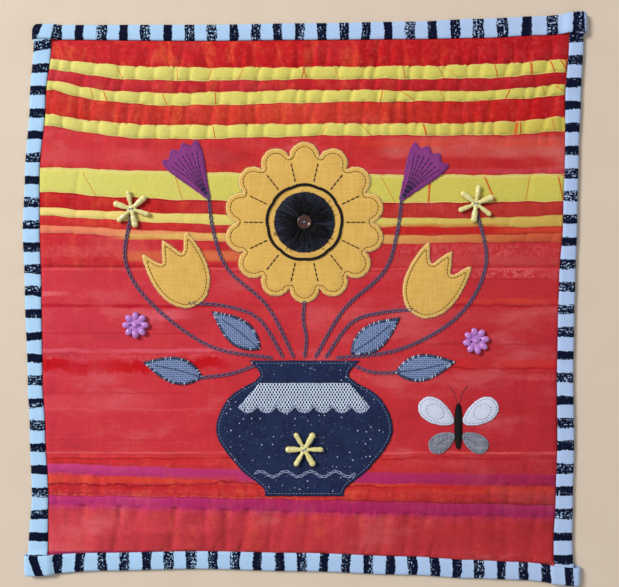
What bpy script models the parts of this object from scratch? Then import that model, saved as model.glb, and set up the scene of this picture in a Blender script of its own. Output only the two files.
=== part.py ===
"""A square wall quilt lying flat on its back, with a striped top and an applique vase of flowers.

Sizes below are millimetres, and build_mesh turns them into metres. The frame has +Z up and +Y toward the
top of the design, with the origin under the middle of the outline, on the surface that the quilt lies on.

The quilted sandwich runs into the pockets of four folded binding strips. The side strips run into the
pockets of the two end strips in turn, so the end strips are thicker over the side strips' ends.
"""

import math
import random
from functools import partial
from typing import NamedTuple

import bmesh
import bpy
from mathutils import Vector

MM = 0.001
GAP = 0.3  # clearance between neighbouring pieces

# Binding: a folded strip, in section
LEAF = 1.0  # cloth over and under the sandwich, each a double layer
FOLD_WALL = 1.6  # cloth outside the sandwich's edge
EDGE_THICKNESS = 1.6  # the sandwich where the binding squeezes it
STRIP_HEIGHT = 2 * LEAF + 2 * GAP + EDGE_THICKNESS
TUCK_LIFT = LEAF + GAP  # how far a pocket's floor lifts what lies in it
EDGE_INSET = FOLD_WALL + GAP  # outline to the edge of what lies in the pocket
MOUTH_CLEARANCE = 0.6  # mouth of a pocket to where its contents begin to spread
SPREAD = 4.0  # mouth of a pocket to where its contents have their own thickness
CEILING_SPREAD = 6.0  # side strip to where an end strip has its plain thickness
END_WALL = 1.2  # folded end of an end strip to its pocket
END_INSET = 1.6  # how far the folded ends are rounded
END_SQUEEZE = 0.25  # share of the height lost at the folded ends

# Sandwich
BODY_HEIGHT = 3.4  # top of the flat middle, which carries the applique
DITCH_DEPTH = 0.8  # stitched seams below the flat
PUFF_HEIGHT = 0.5  # padding between seams, outside the applique's ground
RIPPLE_HEIGHT = 0.7  # puckers across the seams, outside the applique's ground
RIPPLE_COLUMNS = 42
RIPPLE_JITTER = 0.3  # share of a column's spacing
GROUND = (0.0, -14.0, 158.0, 146.0)  # flat ground of the applique: middle x, middle y, half width, half height
GROUND_POWER = 4.0
GROUND_FADE = 0.14  # share of the ground's size over which the puckers rise

# Applique and buttons
APPLIQUE = 1.0  # thickness of a cut and stitched piece
FIRST_LAYER = BODY_HEIGHT + GAP
SECOND_LAYER = FIRST_LAYER + APPLIQUE + GAP
THIRD_LAYER = SECOND_LAYER + APPLIQUE + GAP


class EdgeRow(NamedTuple):
    """Where a binding strip's outer edge runs, and how wide the strip is there."""

    along: float
    outer: float
    width: float


class SeamRow(NamedTuple):
    """A seam between stripes: its height at the left, middle and right, and what lies below it."""

    left: float
    middle: float
    right: float
    rows_below: int
    ripple_below: float


class Line(NamedTuple):
    """A line beside an edge of the outline: inward of the strip's outer or inner edge."""

    edge: str
    base: str
    inward: float


class SectionPoint(NamedTuple):
    """A corner of a binding strip's section, inward of its outer or inner edge."""

    base: str
    inward: float
    height: float
    is_pocket: bool


class BodyRow(NamedTuple):
    """A line across the sandwich, with its share of ditch, puff and ripple."""

    height_at: partial
    ditch: float
    puff: float
    ripple: float


class Piece(NamedTuple):
    """An applique piece's place: middle x and y, turn in degrees, and the height of its underside."""

    x: float
    y: float
    turn: float
    layer: float


EDGES = {
    "left": (
        EdgeRow(-207.9, -209.8, 14.8),
        EdgeRow(-190.7, -210.3, 15.2),
        EdgeRow(-149.2, -207.8, 12.8),
        EdgeRow(-99.7, -209.3, 12.0),
        EdgeRow(-61.7, -210.9, 11.5),
        EdgeRow(6.6, -213.1, 12.9),
        EdgeRow(52.2, -214.7, 13.2),
        EdgeRow(92.5, -213.1, 11.4),
        EdgeRow(151.0, -209.3, 12.3),
        EdgeRow(196.0, -206.3, 13.8),
        EdgeRow(207.3, -204.9, 13.0),
    ),
    "right": (
        EdgeRow(-215.0, 205.2, 15.6),
        EdgeRow(-183.4, 204.1, 14.5),
        EdgeRow(-153.0, 204.6, 13.5),
        EdgeRow(-107.4, 205.6, 13.2),
        EdgeRow(-61.8, 204.9, 12.8),
        EdgeRow(-16.2, 205.6, 12.8),
        EdgeRow(14.2, 206.4, 12.6),
        EdgeRow(59.8, 207.9, 11.1),
        EdgeRow(113.0, 209.0, 10.8),
        EdgeRow(151.0, 210.6, 12.2),
        EdgeRow(196.6, 212.6, 11.3),
        EdgeRow(215.3, 212.8, 11.3),
    ),
    "bottom": (
        EdgeRow(-212.8, -210.9, 15.9),
        EdgeRow(-155.4, -207.3, 14.1),
        EdgeRow(-79.4, -205.9, 13.9),
        EdgeRow(-3.4, -207.7, 14.4),
        EdgeRow(80.2, -210.4, 14.4),
        EdgeRow(125.8, -213.0, 14.4),
        EdgeRow(160.0, -214.1, 14.0),
        EdgeRow(209.4, -218.3, 14.3),
    ),
    "top": (
        EdgeRow(-206.8, 208.6, 11.6),
        EdgeRow(-71.8, 208.8, 12.7),
        EdgeRow(-3.4, 209.9, 13.1),
        EdgeRow(80.2, 211.1, 13.7),
        EdgeRow(133.4, 213.3, 15.0),
        EdgeRow(179.0, 215.3, 14.9),
        EdgeRow(214.7, 218.3, 15.8),
    ),
}
INWARD = {"left": 1.0, "right": -1.0, "bottom": 1.0, "top": -1.0}

SEAMS = (
    SeamRow(181.4, 176.9, 180.7, 1, 1.0),
    SeamRow(173.8, 168.5, 171.5, 1, 1.0),
    SeamRow(163.6, 159.8, 162.8, 1, 1.0),
    SeamRow(156.7, 149.9, 153.7, 2, 1.0),
    SeamRow(138.9, 133.9, 137.0, 1, 0.9),
    SeamRow(129.4, 124.4, 127.5, 3, 0.5),
    SeamRow(99.0, 94.0, 94.4, 2, 0.4),
    SeamRow(80.0, 73.5, 73.9, 1, 0.5),
    SeamRow(68.6, 62.9, 64.0, 1, 0.6),
    SeamRow(62.5, 55.6, 54.5, 1, 0.6),
    SeamRow(54.9, 48.4, 48.8, 1, 0.5),
    SeamRow(49.6, 39.7, 41.2, 2, 0.3),
    SeamRow(24.9, 21.8, 24.9, 2, 0.2),
    SeamRow(-5.5, -6.0, -5.5, 3, 0.2),
    SeamRow(-51.1, -51.1, -52.0, 4, 0.3),
    SeamRow(-118.8, -119.5, -120.5, 1, 0.5),
    SeamRow(-125.6, -130.9, -133.2, 1, 0.7),
    SeamRow(-132.5, -139.3, -141.6, 2, 0.8),
    SeamRow(-149.9, -153.0, -156.8, 1, 1.0),
    SeamRow(-156.8, -162.1, -165.9, 3, 1.0),
)
SEAM_REACH = 180.0  # where the left and right heights are, either side of the middle
ROWS_ABOVE_SEAMS = 2

SECTION = (
    SectionPoint("inner", 0.0, 0.0, False),
    SectionPoint("outer", 2.0, 0.0, False),
    SectionPoint("outer", 0.5, 0.25 * STRIP_HEIGHT, False),
    SectionPoint("outer", 0.0, 0.5 * STRIP_HEIGHT, False),
    SectionPoint("outer", 0.5, 0.78 * STRIP_HEIGHT, False),
    SectionPoint("outer", 2.2, 0.97 * STRIP_HEIGHT, False),
    SectionPoint("outer", 6.5, STRIP_HEIGHT, False),
    SectionPoint("inner", 0.0, STRIP_HEIGHT - 0.25, False),
    SectionPoint("inner", 0.0, STRIP_HEIGHT - LEAF, False),
    SectionPoint("outer", FOLD_WALL, STRIP_HEIGHT - LEAF, True),
    SectionPoint("outer", FOLD_WALL, LEAF, True),
    SectionPoint("inner", 0.0, LEAF, False),
)
STRIP_STATIONS = 18
END_X = {"top": (-206.8, 214.7), "bottom": (-212.8, 209.4)}

PETALS = 14
PETAL_TIP = 61.0
PETAL_NOTCH = 51.0
SUNFLOWER_CENTRE = 23.0
SUNFLOWER = Piece(0.0, 58.0, 0.0, FIRST_LAYER)
VASE_PROFILE = (  # half width and height of the vase's right side, from the foot up
    (30.0, -150.0),
    (32.0, -143.0),
    (50.0, -128.0),
    (67.0, -102.0),
    (58.0, -76.0),
    (37.0, -62.0),
    (34.0, -56.0),
    (42.0, -47.0),
)
LACE_TOP = -64.0
LACE_BOTTOM = -82.0
LACE_TOP_HALF = 34.0
LACE_BOTTOM_HALF = 50.0
LACE_SCALLOPS = 7
LACE_SCALLOP_DEPTH = 5.0

TULIPS = {
    "tulip_left": Piece(-95.0, 20.0, 28.0, FIRST_LAYER),
    "tulip_right": Piece(98.0, 12.0, -30.0, FIRST_LAYER),
}
TULIP_WIDTH = 44.0
TULIP_HEIGHT = 56.0
BUDS = {
    "bud_left": Piece(-85.0, 96.0, 32.0, FIRST_LAYER),
    "bud_right": Piece(86.0, 94.0, -34.0, FIRST_LAYER),
}
BUD_WIDTH = 32.0
BUD_HEIGHT = 46.0
LEAVES = {
    "leaf_1": Piece(-52.0, -24.0, 52.0, FIRST_LAYER),
    "leaf_2": Piece(54.0, -28.0, -54.0, FIRST_LAYER),
    "leaf_3": Piece(-100.0, -54.0, 76.0, FIRST_LAYER),
    "leaf_4": Piece(92.0, -52.0, -80.0, FIRST_LAYER),
}
LEAF_LENGTH = 46.0
LEAF_WIDTH = 20.0
WINGS = {
    "wing_upper_left": (Piece(100.5, -86.5, 58.0, FIRST_LAYER), 30.0, 23.0),
    "wing_upper_right": (Piece(133.5, -86.5, -58.0, FIRST_LAYER), 30.0, 23.0),
    "wing_lower_left": (Piece(104.5, -109.0, 122.0, FIRST_LAYER), 22.0, 18.0),
    "wing_lower_right": (Piece(129.5, -109.0, -122.0, FIRST_LAYER), 22.0, 18.0),
}
BUTTERFLY_BODY = Piece(117.0, -97.0, 0.0, FIRST_LAYER)
BUTTERFLY_BODY_LENGTH = 34.0
BUTTERFLY_BODY_WIDTH = 5.0

STAR_BUTTONS = {
    "star_button_1": Piece(-131.0, 68.0, 12.0, FIRST_LAYER),
    "star_button_2": Piece(130.0, 72.0, -8.0, FIRST_LAYER),
    "star_button_3": Piece(0.0, -114.0, 30.0, SECOND_LAYER),
}
STAR_RADIUS = 14.5
STAR_WAIST = 6.0
STAR_THICKNESS = 4.6
BEAD_BUTTONS = {
    "bead_button_1": Piece(-128.0, -20.0, 0.0, FIRST_LAYER),
    "bead_button_2": Piece(130.0, -32.0, 10.0, FIRST_LAYER),
}
BEAD_RADIUS = 10.2
BEAD_WAIST = 7.8
BEAD_THICKNESS = 4.0
ROUND_BUTTON = Piece(0.0, 58.0, 0.0, THIRD_LAYER)
ROUND_RADIUS = 5.4
ROUND_THICKNESS = 2.4


class Finish(NamedTuple):
    """A piece's colour, roughness and metallic value."""

    colour: tuple
    roughness: float
    metallic: float


FINISHES = {
    "striped_cotton": Finish((0.55, 0.04, 0.035), 0.85, 0.0),
    "binding_cotton": Finish((0.6, 0.68, 0.8), 0.85, 0.0),
    "golden_linen": Finish((0.62, 0.33, 0.06), 0.9, 0.0),
    "navy_cotton": Finish((0.02, 0.03, 0.07), 0.85, 0.0),
    "black_cloth": Finish((0.015, 0.016, 0.025), 0.9, 0.0),
    "white_lace": Finish((0.6, 0.65, 0.75), 0.85, 0.0),
    "purple_cotton": Finish((0.2, 0.03, 0.2), 0.85, 0.0),
    "grey_blue_weave": Finish((0.12, 0.17, 0.32), 0.9, 0.0),
    "pale_grey_cloth": Finish((0.5, 0.52, 0.58), 0.9, 0.0),
    "brushed_grey_cloth": Finish((0.16, 0.17, 0.2), 0.95, 0.0),
    "yellow_plastic": Finish((0.8, 0.68, 0.2), 0.25, 0.0),
    "lilac_plastic": Finish((0.5, 0.2, 0.55), 0.25, 0.0),
    "brown_plastic": Finish((0.05, 0.015, 0.01), 0.3, 0.0),
}


def clear_scene():
    """Remove what a new file holds."""
    for thing in list(bpy.data.objects):
        bpy.data.objects.remove(thing, do_unlink=True)


def make_material(name):
    """Return the named finish as a material."""
    material = bpy.data.materials.new(name)
    material.use_nodes = True
    shader = material.node_tree.nodes["Principled BSDF"]
    finish = FINISHES[name]
    shader.inputs["Base Color"].default_value = (*finish.colour, 1.0)
    shader.inputs["Roughness"].default_value = finish.roughness
    shader.inputs["Metallic"].default_value = finish.metallic
    material.diffuse_color = (*finish.colour, 1.0)
    return material


def build_mesh(name, points, faces, finish):
    """Make one closed mesh object from points in millimetres."""
    shape = bmesh.new()
    corners = [shape.verts.new(Vector(point) * MM) for point in points]
    for face in faces:
        shape.faces.new([corners[index] for index in face])
    bmesh.ops.remove_doubles(shape, verts=shape.verts, dist=0.01 * MM)
    bmesh.ops.recalc_face_normals(shape, faces=shape.faces)
    mesh = bpy.data.meshes.new(name)
    shape.to_mesh(mesh)
    shape.free()
    mesh.materials.append(make_material(finish))
    thing = bpy.data.objects.new(name, mesh)
    bpy.context.collection.objects.link(thing)
    return thing


# Outline


def edge_at(edge, along):
    """Return an edge's outer place and its strip's width, easing from one table row to the next."""
    rows = EDGES[edge]
    if along <= rows[0].along:
        return rows[0].outer, rows[0].width
    for low, high in zip(rows, rows[1:]):
        if along <= high.along:
            share = (along - low.along) / (high.along - low.along)
            eased = share * share * (3 - 2 * share)
            outer = low.outer + eased * (high.outer - low.outer)
            width = low.width + eased * (high.width - low.width)
            return outer, width
    return rows[-1].outer, rows[-1].width


def edge_line(line, along):
    """Return where a line beside an edge lies."""
    outer, width = edge_at(line.edge, along)
    base = width if line.base == "inner" else 0.0
    return outer + INWARD[line.edge] * (base + line.inward)


def fixed_line(place, along):
    """Return a place that is the same all along."""
    return place


def seam_line(seam, x):
    """Return a seam's height at x, on the parabola through its three heights."""
    across = x / SEAM_REACH
    slope = (seam.right - seam.left) / 2
    bow = (seam.right + seam.left) / 2 - seam.middle
    return seam.middle + slope * across + bow * across * across


def between(first, second, share, along):
    """Return a place part of the way from one line to another."""
    start = first(along)
    return start + share * (second(along) - start)


def meet(row, column):
    """Return the point where a line across meets a line up."""
    x = 0.0
    for _ in range(8):
        y = row(x)
        x = column(y)
    return x, y


# Quilted sandwich


def pocket_lines(edge):
    """Return the lines at a piece's tucked edge, outside the pocket's mouth, and where it has spread."""
    return [
        partial(edge_line, Line(edge, "outer", EDGE_INSET)),
        partial(edge_line, Line(edge, "inner", MOUTH_CLEARANCE)),
        partial(edge_line, Line(edge, "inner", SPREAD)),
    ]


def band_rows(upper, lower, count, ripple):
    """Return the rows of one padded stripe, highest in its middle."""
    rows = []
    for step in range(1, count + 1):
        share = step / (count + 1)
        puff = math.sin(math.pi * share)
        rows.append(BodyRow(partial(between, upper, lower, share), 0.0, puff, ripple))
    return rows


def body_rows():
    """Return the sandwich's rows from the top edge down."""
    top = pocket_lines("top")
    bottom = pocket_lines("bottom")
    rows = [BodyRow(line, 0.0, 0.0, 0.0) for line in top]
    upper = top[-1]
    count = ROWS_ABOVE_SEAMS
    ripple = SEAMS[0].ripple_below
    for seam in SEAMS:
        line = partial(seam_line, seam)
        rows += band_rows(upper, line, count, ripple)
        rows.append(BodyRow(line, 1.0, 0.0, 0.5 * ripple))
        upper = line
        count = seam.rows_below
        ripple = seam.ripple_below
    rows += band_rows(upper, bottom[-1], count, ripple)
    rows += [BodyRow(line, 0.0, 0.0, 0.0) for line in reversed(bottom)]
    return rows


def body_columns(rng):
    """Return the sandwich's lines up, from left to right, one for each crest and trough of the puckers."""
    left = pocket_lines("left")
    right = pocket_lines("right")
    columns = list(left)
    for step in range(1, RIPPLE_COLUMNS):
        share = (step + rng.uniform(-RIPPLE_JITTER, RIPPLE_JITTER)) / RIPPLE_COLUMNS
        columns.append(partial(between, left[-1], right[-1], share))
    return columns + list(reversed(right))


def off_ground(x, y):
    """Return 0 on the applique's flat ground, rising to 1 outside it."""
    middle_x, middle_y, half_width, half_height = GROUND
    across = abs((x - middle_x) / half_width) ** GROUND_POWER
    up = abs((y - middle_y) / half_height) ** GROUND_POWER
    reach = (across + up) ** (1 / GROUND_POWER)
    share = min(max((reach - 1) / GROUND_FADE, 0.0), 1.0)
    return share * share * (3 - 2 * share)


def in_pocket(index, count):
    """Return whether a row or column lies in a pocket."""
    return index < 2 or index >= count - 2


def sandwich_point(x, y, row, crest, tucks):
    """Return a point on the sandwich's top and the one under it."""
    floor = TUCK_LIFT * tucks
    if tucks:
        return (x, y, floor + EDGE_THICKNESS), (x, y, floor)
    relief = PUFF_HEIGHT * row.puff + RIPPLE_HEIGHT * row.ripple * crest
    height = BODY_HEIGHT - DITCH_DEPTH * row.ditch + off_ground(x, y) * relief
    return (x, y, height), (x, y, floor)


def build_body():
    """The quilted sandwich, raised between its seams and puckered round the applique's ground."""
    rng = random.Random(4)
    rows = body_rows()
    columns = body_columns(rng)
    width = len(columns)
    height = len(rows)
    points = []
    for row_index, row in enumerate(rows):
        for index, column in enumerate(columns):
            x, y = meet(row.height_at, column)
            crest = (1 if index % 2 else -1) * rng.uniform(0.45, 1.0)
            tucks = in_pocket(index, width) + in_pocket(row_index, height)
            points += sandwich_point(x, y, row, crest, tucks)
    faces = grid_faces(width, height, 0, range(height - 1), range(width - 1))
    faces += underside_frame(width, height)
    faces += rim_faces(width, height)
    centre = len(points)
    points.append((0.0, 0.0, 0.0))
    loop = loop_indices(width, height, 2)
    faces += [(2 * a + 1, centre, 2 * b + 1) for a, b in zip(loop, loop[1:] + loop[:1])]
    return build_mesh("quilt_body", points, faces, "striped_cotton")


def grid_faces(width, height, side, row_range, column_range):
    """Return the faces of part of a grid, whose points are stored as top and under pairs."""
    faces = []
    for row in row_range:
        for column in column_range:
            a = row * width + column
            corners = (a, a + 1, a + 1 + width, a + width)
            faces.append(tuple(2 * corner + side for corner in corners))
    return faces


def underside_frame(width, height):
    """Return the two outermost rows and columns of the underside."""
    ends = [0, 1, height - 3, height - 2]
    faces = grid_faces(width, height, 1, ends, range(width - 1))
    middle = range(2, height - 3)
    sides = [0, 1, width - 3, width - 2]
    return faces + grid_faces(width, height, 1, middle, sides)


def loop_indices(width, height, inset):
    """Return the points of the rectangle of grid lines that lies so many lines in."""
    low, right, bottom = inset, width - 1 - inset, height - 1 - inset
    loop = [low * width + column for column in range(low, right)]
    loop += [row * width + right for row in range(low, bottom)]
    loop += [bottom * width + column for column in range(right, low, -1)]
    loop += [row * width + low for row in range(bottom, low, -1)]
    return loop


def rim_faces(width, height):
    """Return the faces between the top's and the underside's outer edges."""
    loop = loop_indices(width, height, 0)
    return [(2 * a, 2 * b, 2 * b + 1, 2 * a + 1) for a, b in zip(loop, loop[1:] + loop[:1])]


# Binding


def loft_faces(rings, corners):
    """Return the faces between rings of the same number of corners, and the two end caps."""
    faces = [tuple(range(corners)), tuple((rings - 1) * corners + index for index in range(corners))]
    for ring in range(rings - 1):
        for index in range(corners):
            after = (index + 1) % corners
            a = ring * corners
            b = a + corners
            faces.append((a + index, a + after, b + after, b + index))
    return faces


def section_line(edge, point, squeeze):
    """Return the line that a corner of the section follows."""
    inward = point.inward
    if point.base == "outer" and not point.is_pocket and inward < END_INSET:
        inward += END_INSET * squeeze
    return partial(edge_line, Line(edge, point.base, inward))


def build_side_strip(edge):
    """A strip up one side. Its ends are lifted into the end strips' pockets."""
    top = pocket_lines("top")
    bottom = pocket_lines("bottom")
    stations = [(line, TUCK_LIFT) for line in top[:2]]
    stations.append((top[2], 0.0))
    for step in range(1, STRIP_STATIONS):
        share = step / STRIP_STATIONS
        stations.append((partial(between, top[2], bottom[2], share), 0.0))
    stations.append((bottom[2], 0.0))
    stations += [(line, TUCK_LIFT) for line in reversed(bottom[:2])]
    points = []
    for station, lift in stations:
        for point in SECTION:
            x, y = meet(station, section_line(edge, point, 0.0))
            points.append((x, y, point.height + lift))
    faces = loft_faces(len(stations), len(SECTION))
    return build_mesh("binding_" + edge, points, faces, "binding_cotton")


def end_stations(edge):
    """Return an end strip's stations from left to right: line, ceiling lift and squeeze of each."""
    low, high = END_X[edge]
    plain = [
        partial(edge_line, Line("left", "inner", CEILING_SPREAD)),
        partial(edge_line, Line("right", "inner", CEILING_SPREAD)),
    ]
    lift = 2 * TUCK_LIFT
    stations = [
        (partial(fixed_line, low), lift, 1.0),
        (partial(fixed_line, low + END_WALL), lift, 0.25),
        (partial(fixed_line, low + 3 * END_WALL), lift, 0.0),
        (partial(edge_line, Line("left", "inner", MOUTH_CLEARANCE)), lift, 0.0),
        (plain[0], 0.0, 0.0),
    ]
    for step in range(1, STRIP_STATIONS):
        share = step / STRIP_STATIONS
        stations.append((partial(between, *plain, share), 0.0, 0.0))
    stations += [
        (plain[1], 0.0, 0.0),
        (partial(edge_line, Line("right", "inner", MOUTH_CLEARANCE)), lift, 0.0),
        (partial(fixed_line, high - 3 * END_WALL), lift, 0.0),
        (partial(fixed_line, high - END_WALL), lift, 0.25),
        (partial(fixed_line, high), lift, 1.0),
    ]
    return stations


def end_strip_height(point, lift, squeeze):
    """Return the height of a section corner, over what lies in the strip's pocket."""
    share = 1.0 if point.height > STRIP_HEIGHT / 2 else point.height / STRIP_HEIGHT
    if point.height <= LEAF:
        share = 0.0
    return (point.height + lift * share) * (1 - END_SQUEEZE * squeeze)


def build_end_strip(edge):
    """A strip along the top or bottom, with folded ends and a pocket closed at both."""
    stations = end_stations(edge)
    points = []
    for index, (station, lift, squeeze) in enumerate(stations):
        is_end = index in (0, len(stations) - 1)
        for point in SECTION:
            closed = point.is_pocket and is_end
            place = SectionPoint("inner", 0.0, point.height, False) if closed else point
            x, y = meet(section_line(edge, place, squeeze), station)
            points.append((x, y, end_strip_height(point, lift, squeeze)))
    faces = loft_faces(len(stations), len(SECTION))
    return build_mesh("binding_" + edge, points, faces, "binding_cotton")


# Applique


def smooth_through(knots, steps):
    """Return a smooth open curve through the knots, with so many steps in each span."""
    curve = []
    for index in range(len(knots) - 1):
        before = Vector(knots[max(index - 1, 0)])
        start = Vector(knots[index])
        end = Vector(knots[index + 1])
        after = Vector(knots[min(index + 2, len(knots) - 1)])
        for step in range(steps):
            t = step / steps
            point = start * 2 + (end - before) * t
            point += (before * 2 - start * 5 + end * 4 - after) * t**2
            point += (start * 3 - before - end * 3 + after) * t**3
            curve.append(tuple(point / 2))
    curve.append(tuple(knots[-1]))
    return curve


def mirrored(right_side):
    """Return a closed outline from its right side, given from the foot up."""
    left_side = [(-x, y) for x, y in reversed(right_side) if abs(x) > 0.01]
    return list(right_side) + left_side


def place_outline(outline, piece):
    """Return an outline turned and moved to its piece's place."""
    turn = math.radians(piece.turn)
    cosine, sine = math.cos(turn), math.sin(turn)
    return [(piece.x + cosine * x - sine * y, piece.y + sine * x + cosine * y) for x, y in outline]


def build_plate(name, outline, piece, thickness, finish):
    """A cut piece of cloth of one thickness, lying level."""
    placed = place_outline(outline, piece)
    count = len(placed)
    points = [(x, y, piece.layer) for x, y in placed]
    points += [(x, y, piece.layer + thickness) for x, y in placed]
    faces = [tuple(range(count)), tuple(range(count, 2 * count))]
    for index in range(count):
        after = (index + 1) % count
        faces.append((index, after, count + after, count + index))
    return build_mesh(name, points, faces, finish)


def scalloped_disc(tip, notch, lobes, steps):
    """Return an outline of round lobes about the origin."""
    outline = []
    for step in range(lobes * steps):
        angle = 2 * math.pi * step / (lobes * steps)
        lobe = abs(math.cos(lobes * angle / 2)) ** 0.6
        radius = notch + (tip - notch) * lobe
        outline.append((radius * math.sin(angle), radius * math.cos(angle)))
    return outline


def disc(radius, steps):
    """Return a round outline."""
    return scalloped_disc(radius, radius, 1, steps)


def lace_outline():
    """Return the collar's outline: straight above, widening down, with a scalloped hem."""
    outline = [(LACE_TOP_HALF, LACE_TOP), (-LACE_TOP_HALF, LACE_TOP)]
    steps = 4 * LACE_SCALLOPS
    for step in range(steps + 1):
        share = step / steps
        dip = abs(math.sin(math.pi * LACE_SCALLOPS * share)) ** 0.7
        x = -LACE_BOTTOM_HALF + 2 * LACE_BOTTOM_HALF * share
        outline.append((x, LACE_BOTTOM - LACE_SCALLOP_DEPTH * dip))
    return outline


def tulip_outline(width, height):
    """Return a tulip's head: a round cup with three points."""
    half = width / 2
    right_side = [
        (0.0, -0.50 * height),
        (0.42 * half, -0.46 * height),
        (0.84 * half, -0.26 * height),
        (1.0 * half, 0.06 * height),
        (0.86 * half, 0.44 * height),
        (0.52 * half, 0.26 * height),
        (0.36 * half, 0.22 * height),
        (0.20 * half, 0.36 * height),
        (0.0, 0.50 * height),
    ]
    return mirrored(smooth_through(right_side, 2))


def bud_outline(width, height):
    """Return a bud: narrow at its foot, with a wavy open top."""
    half = width / 2
    right_side = [
        (0.10 * half, -0.50 * height),
        (0.42 * half, -0.22 * height),
        (0.90 * half, 0.18 * height),
        (0.98 * half, 0.42 * height),
        (0.60 * half, 0.40 * height),
        (0.34 * half, 0.50 * height),
        (0.0, 0.42 * height),
    ]
    return mirrored(smooth_through(right_side, 2))


def leaf_outline(length, width):
    """Return a leaf with a round base and a pointed tip."""
    half = width / 2
    right_side = []
    for step in range(9):
        share = step / 8
        bulge = math.sin(math.pi * share**0.8)
        right_side.append((half * bulge, length * (share - 0.5)))
    return mirrored(right_side)


def wing_outline(length, width):
    """Return a wing: an egg that is broadest away from the body."""
    outline = []
    for step in range(18):
        angle = 2 * math.pi * step / 18
        y = math.cos(angle)
        x = math.sin(angle) * (0.78 + 0.22 * y)
        outline.append((x * width / 2, y * length / 2))
    return outline


def build_flowers():
    """The sunflower, tulips and buds."""
    petals = scalloped_disc(PETAL_TIP, PETAL_NOTCH, PETALS, 6)
    build_plate("sunflower_petals", petals, SUNFLOWER, APPLIQUE, "golden_linen")
    centre = SUNFLOWER._replace(layer=SECOND_LAYER)
    build_plate("sunflower_centre", disc(SUNFLOWER_CENTRE, 28), centre, APPLIQUE, "black_cloth")
    for name, piece in TULIPS.items():
        outline = tulip_outline(TULIP_WIDTH, TULIP_HEIGHT)
        build_plate(name, outline, piece, APPLIQUE, "golden_linen")
    for name, piece in BUDS.items():
        outline = bud_outline(BUD_WIDTH, BUD_HEIGHT)
        build_plate(name, outline, piece, APPLIQUE, "purple_cotton")


def build_vase():
    """The vase with its lace collar, and the leaves."""
    vase = mirrored(smooth_through(VASE_PROFILE, 3))
    build_plate("vase", vase, Piece(0.0, 0.0, 0.0, FIRST_LAYER), APPLIQUE, "navy_cotton")
    collar = Piece(0.0, 0.0, 0.0, SECOND_LAYER)
    build_plate("lace_collar", lace_outline(), collar, APPLIQUE, "white_lace")
    for name, piece in LEAVES.items():
        outline = leaf_outline(LEAF_LENGTH, LEAF_WIDTH)
        build_plate(name, outline, piece, APPLIQUE, "grey_blue_weave")


def build_butterfly():
    """Four wings and a slim body between them."""
    for name, (piece, length, width) in WINGS.items():
        finish = "pale_grey_cloth" if "upper" in name else "brushed_grey_cloth"
        build_plate(name, wing_outline(length, width), piece, APPLIQUE, finish)
    body = wing_outline(BUTTERFLY_BODY_LENGTH, BUTTERFLY_BODY_WIDTH)
    build_plate("butterfly_body", body, BUTTERFLY_BODY, APPLIQUE, "black_cloth")


# Buttons


def build_button(name, piece, outline, thickness, finish):
    """A button with a flat back, a rounded rim and a domed face."""
    levels = (  # size against the outline, and height against the thickness
        (0.86, 0.0),
        (1.0, 0.35),
        (0.93, 0.7),
        (0.72, 0.96),
        (0.34, 0.9),
    )
    placed = []
    for size, level in levels:
        ring = place_outline([(x * size, y * size) for x, y in outline], piece)
        placed += [(x, y, piece.layer + level * thickness) for x, y in ring]
    faces = loft_faces(len(levels), len(outline))
    return build_mesh(name, placed, faces, finish)


def lobed_outline(radius, waist, lobes, steps):
    """Return an outline of separate round petals that meet at the waist."""
    outline = []
    for step in range(lobes * steps):
        angle = 2 * math.pi * step / (lobes * steps)
        lobe = abs(math.cos(lobes * angle / 2)) ** 0.9
        reach = waist + (radius - waist) * lobe
        outline.append((reach * math.sin(angle), reach * math.cos(angle)))
    return outline


def build_buttons():
    """Star, bead-flower and round buttons."""
    star = lobed_outline(STAR_RADIUS, STAR_WAIST, 6, 6)
    for name, piece in STAR_BUTTONS.items():
        build_button(name, piece, star, STAR_THICKNESS, "yellow_plastic")
    beads = lobed_outline(BEAD_RADIUS, BEAD_WAIST, 8, 4)
    for name, piece in BEAD_BUTTONS.items():
        build_button(name, piece, beads, BEAD_THICKNESS, "lilac_plastic")
    build_button("round_button", ROUND_BUTTON, disc(ROUND_RADIUS, 24), ROUND_THICKNESS, "brown_plastic")


def main():
    """Build the quilt."""
    clear_scene()
    build_body()
    for edge in ("left", "right"):
        build_side_strip(edge)
    for edge in ("top", "bottom"):
        build_end_strip(edge)
    build_flowers()
    build_vase()
    build_butterfly()
    build_buttons()


main()
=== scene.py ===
"""Looks of a square wall quilt: puckered stripes, folded binding, applique flowers, stitching and buttons.

Lengths are millimetres until a mesh is made, when they become metres. +Y runs toward the top of the design.
Colours are in steps of 0 to 255 until a node takes them.
"""

import logging
import math
import random
from dataclasses import dataclass, field
from enum import Enum
from typing import Any, Callable, Dict, Iterator, List, Optional, Sequence, Tuple

import bmesh
import bpy
import numpy as np
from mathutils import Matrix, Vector
from mathutils.geometry import delaunay_2d_cdt


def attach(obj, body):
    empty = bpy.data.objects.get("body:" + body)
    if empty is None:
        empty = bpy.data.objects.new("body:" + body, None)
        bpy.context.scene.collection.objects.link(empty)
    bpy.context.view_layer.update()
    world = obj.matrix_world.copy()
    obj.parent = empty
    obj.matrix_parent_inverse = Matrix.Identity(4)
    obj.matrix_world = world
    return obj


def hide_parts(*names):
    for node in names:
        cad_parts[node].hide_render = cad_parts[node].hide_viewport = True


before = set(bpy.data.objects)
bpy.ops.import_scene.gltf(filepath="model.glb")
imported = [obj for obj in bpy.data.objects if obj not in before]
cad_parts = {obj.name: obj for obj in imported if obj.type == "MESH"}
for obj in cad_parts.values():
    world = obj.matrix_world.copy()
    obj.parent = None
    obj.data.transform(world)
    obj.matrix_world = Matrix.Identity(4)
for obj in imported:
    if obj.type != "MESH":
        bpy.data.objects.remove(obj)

Array = np.ndarray
Thing = bpy.types.Object
Colour = Tuple[float, float, float]
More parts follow.
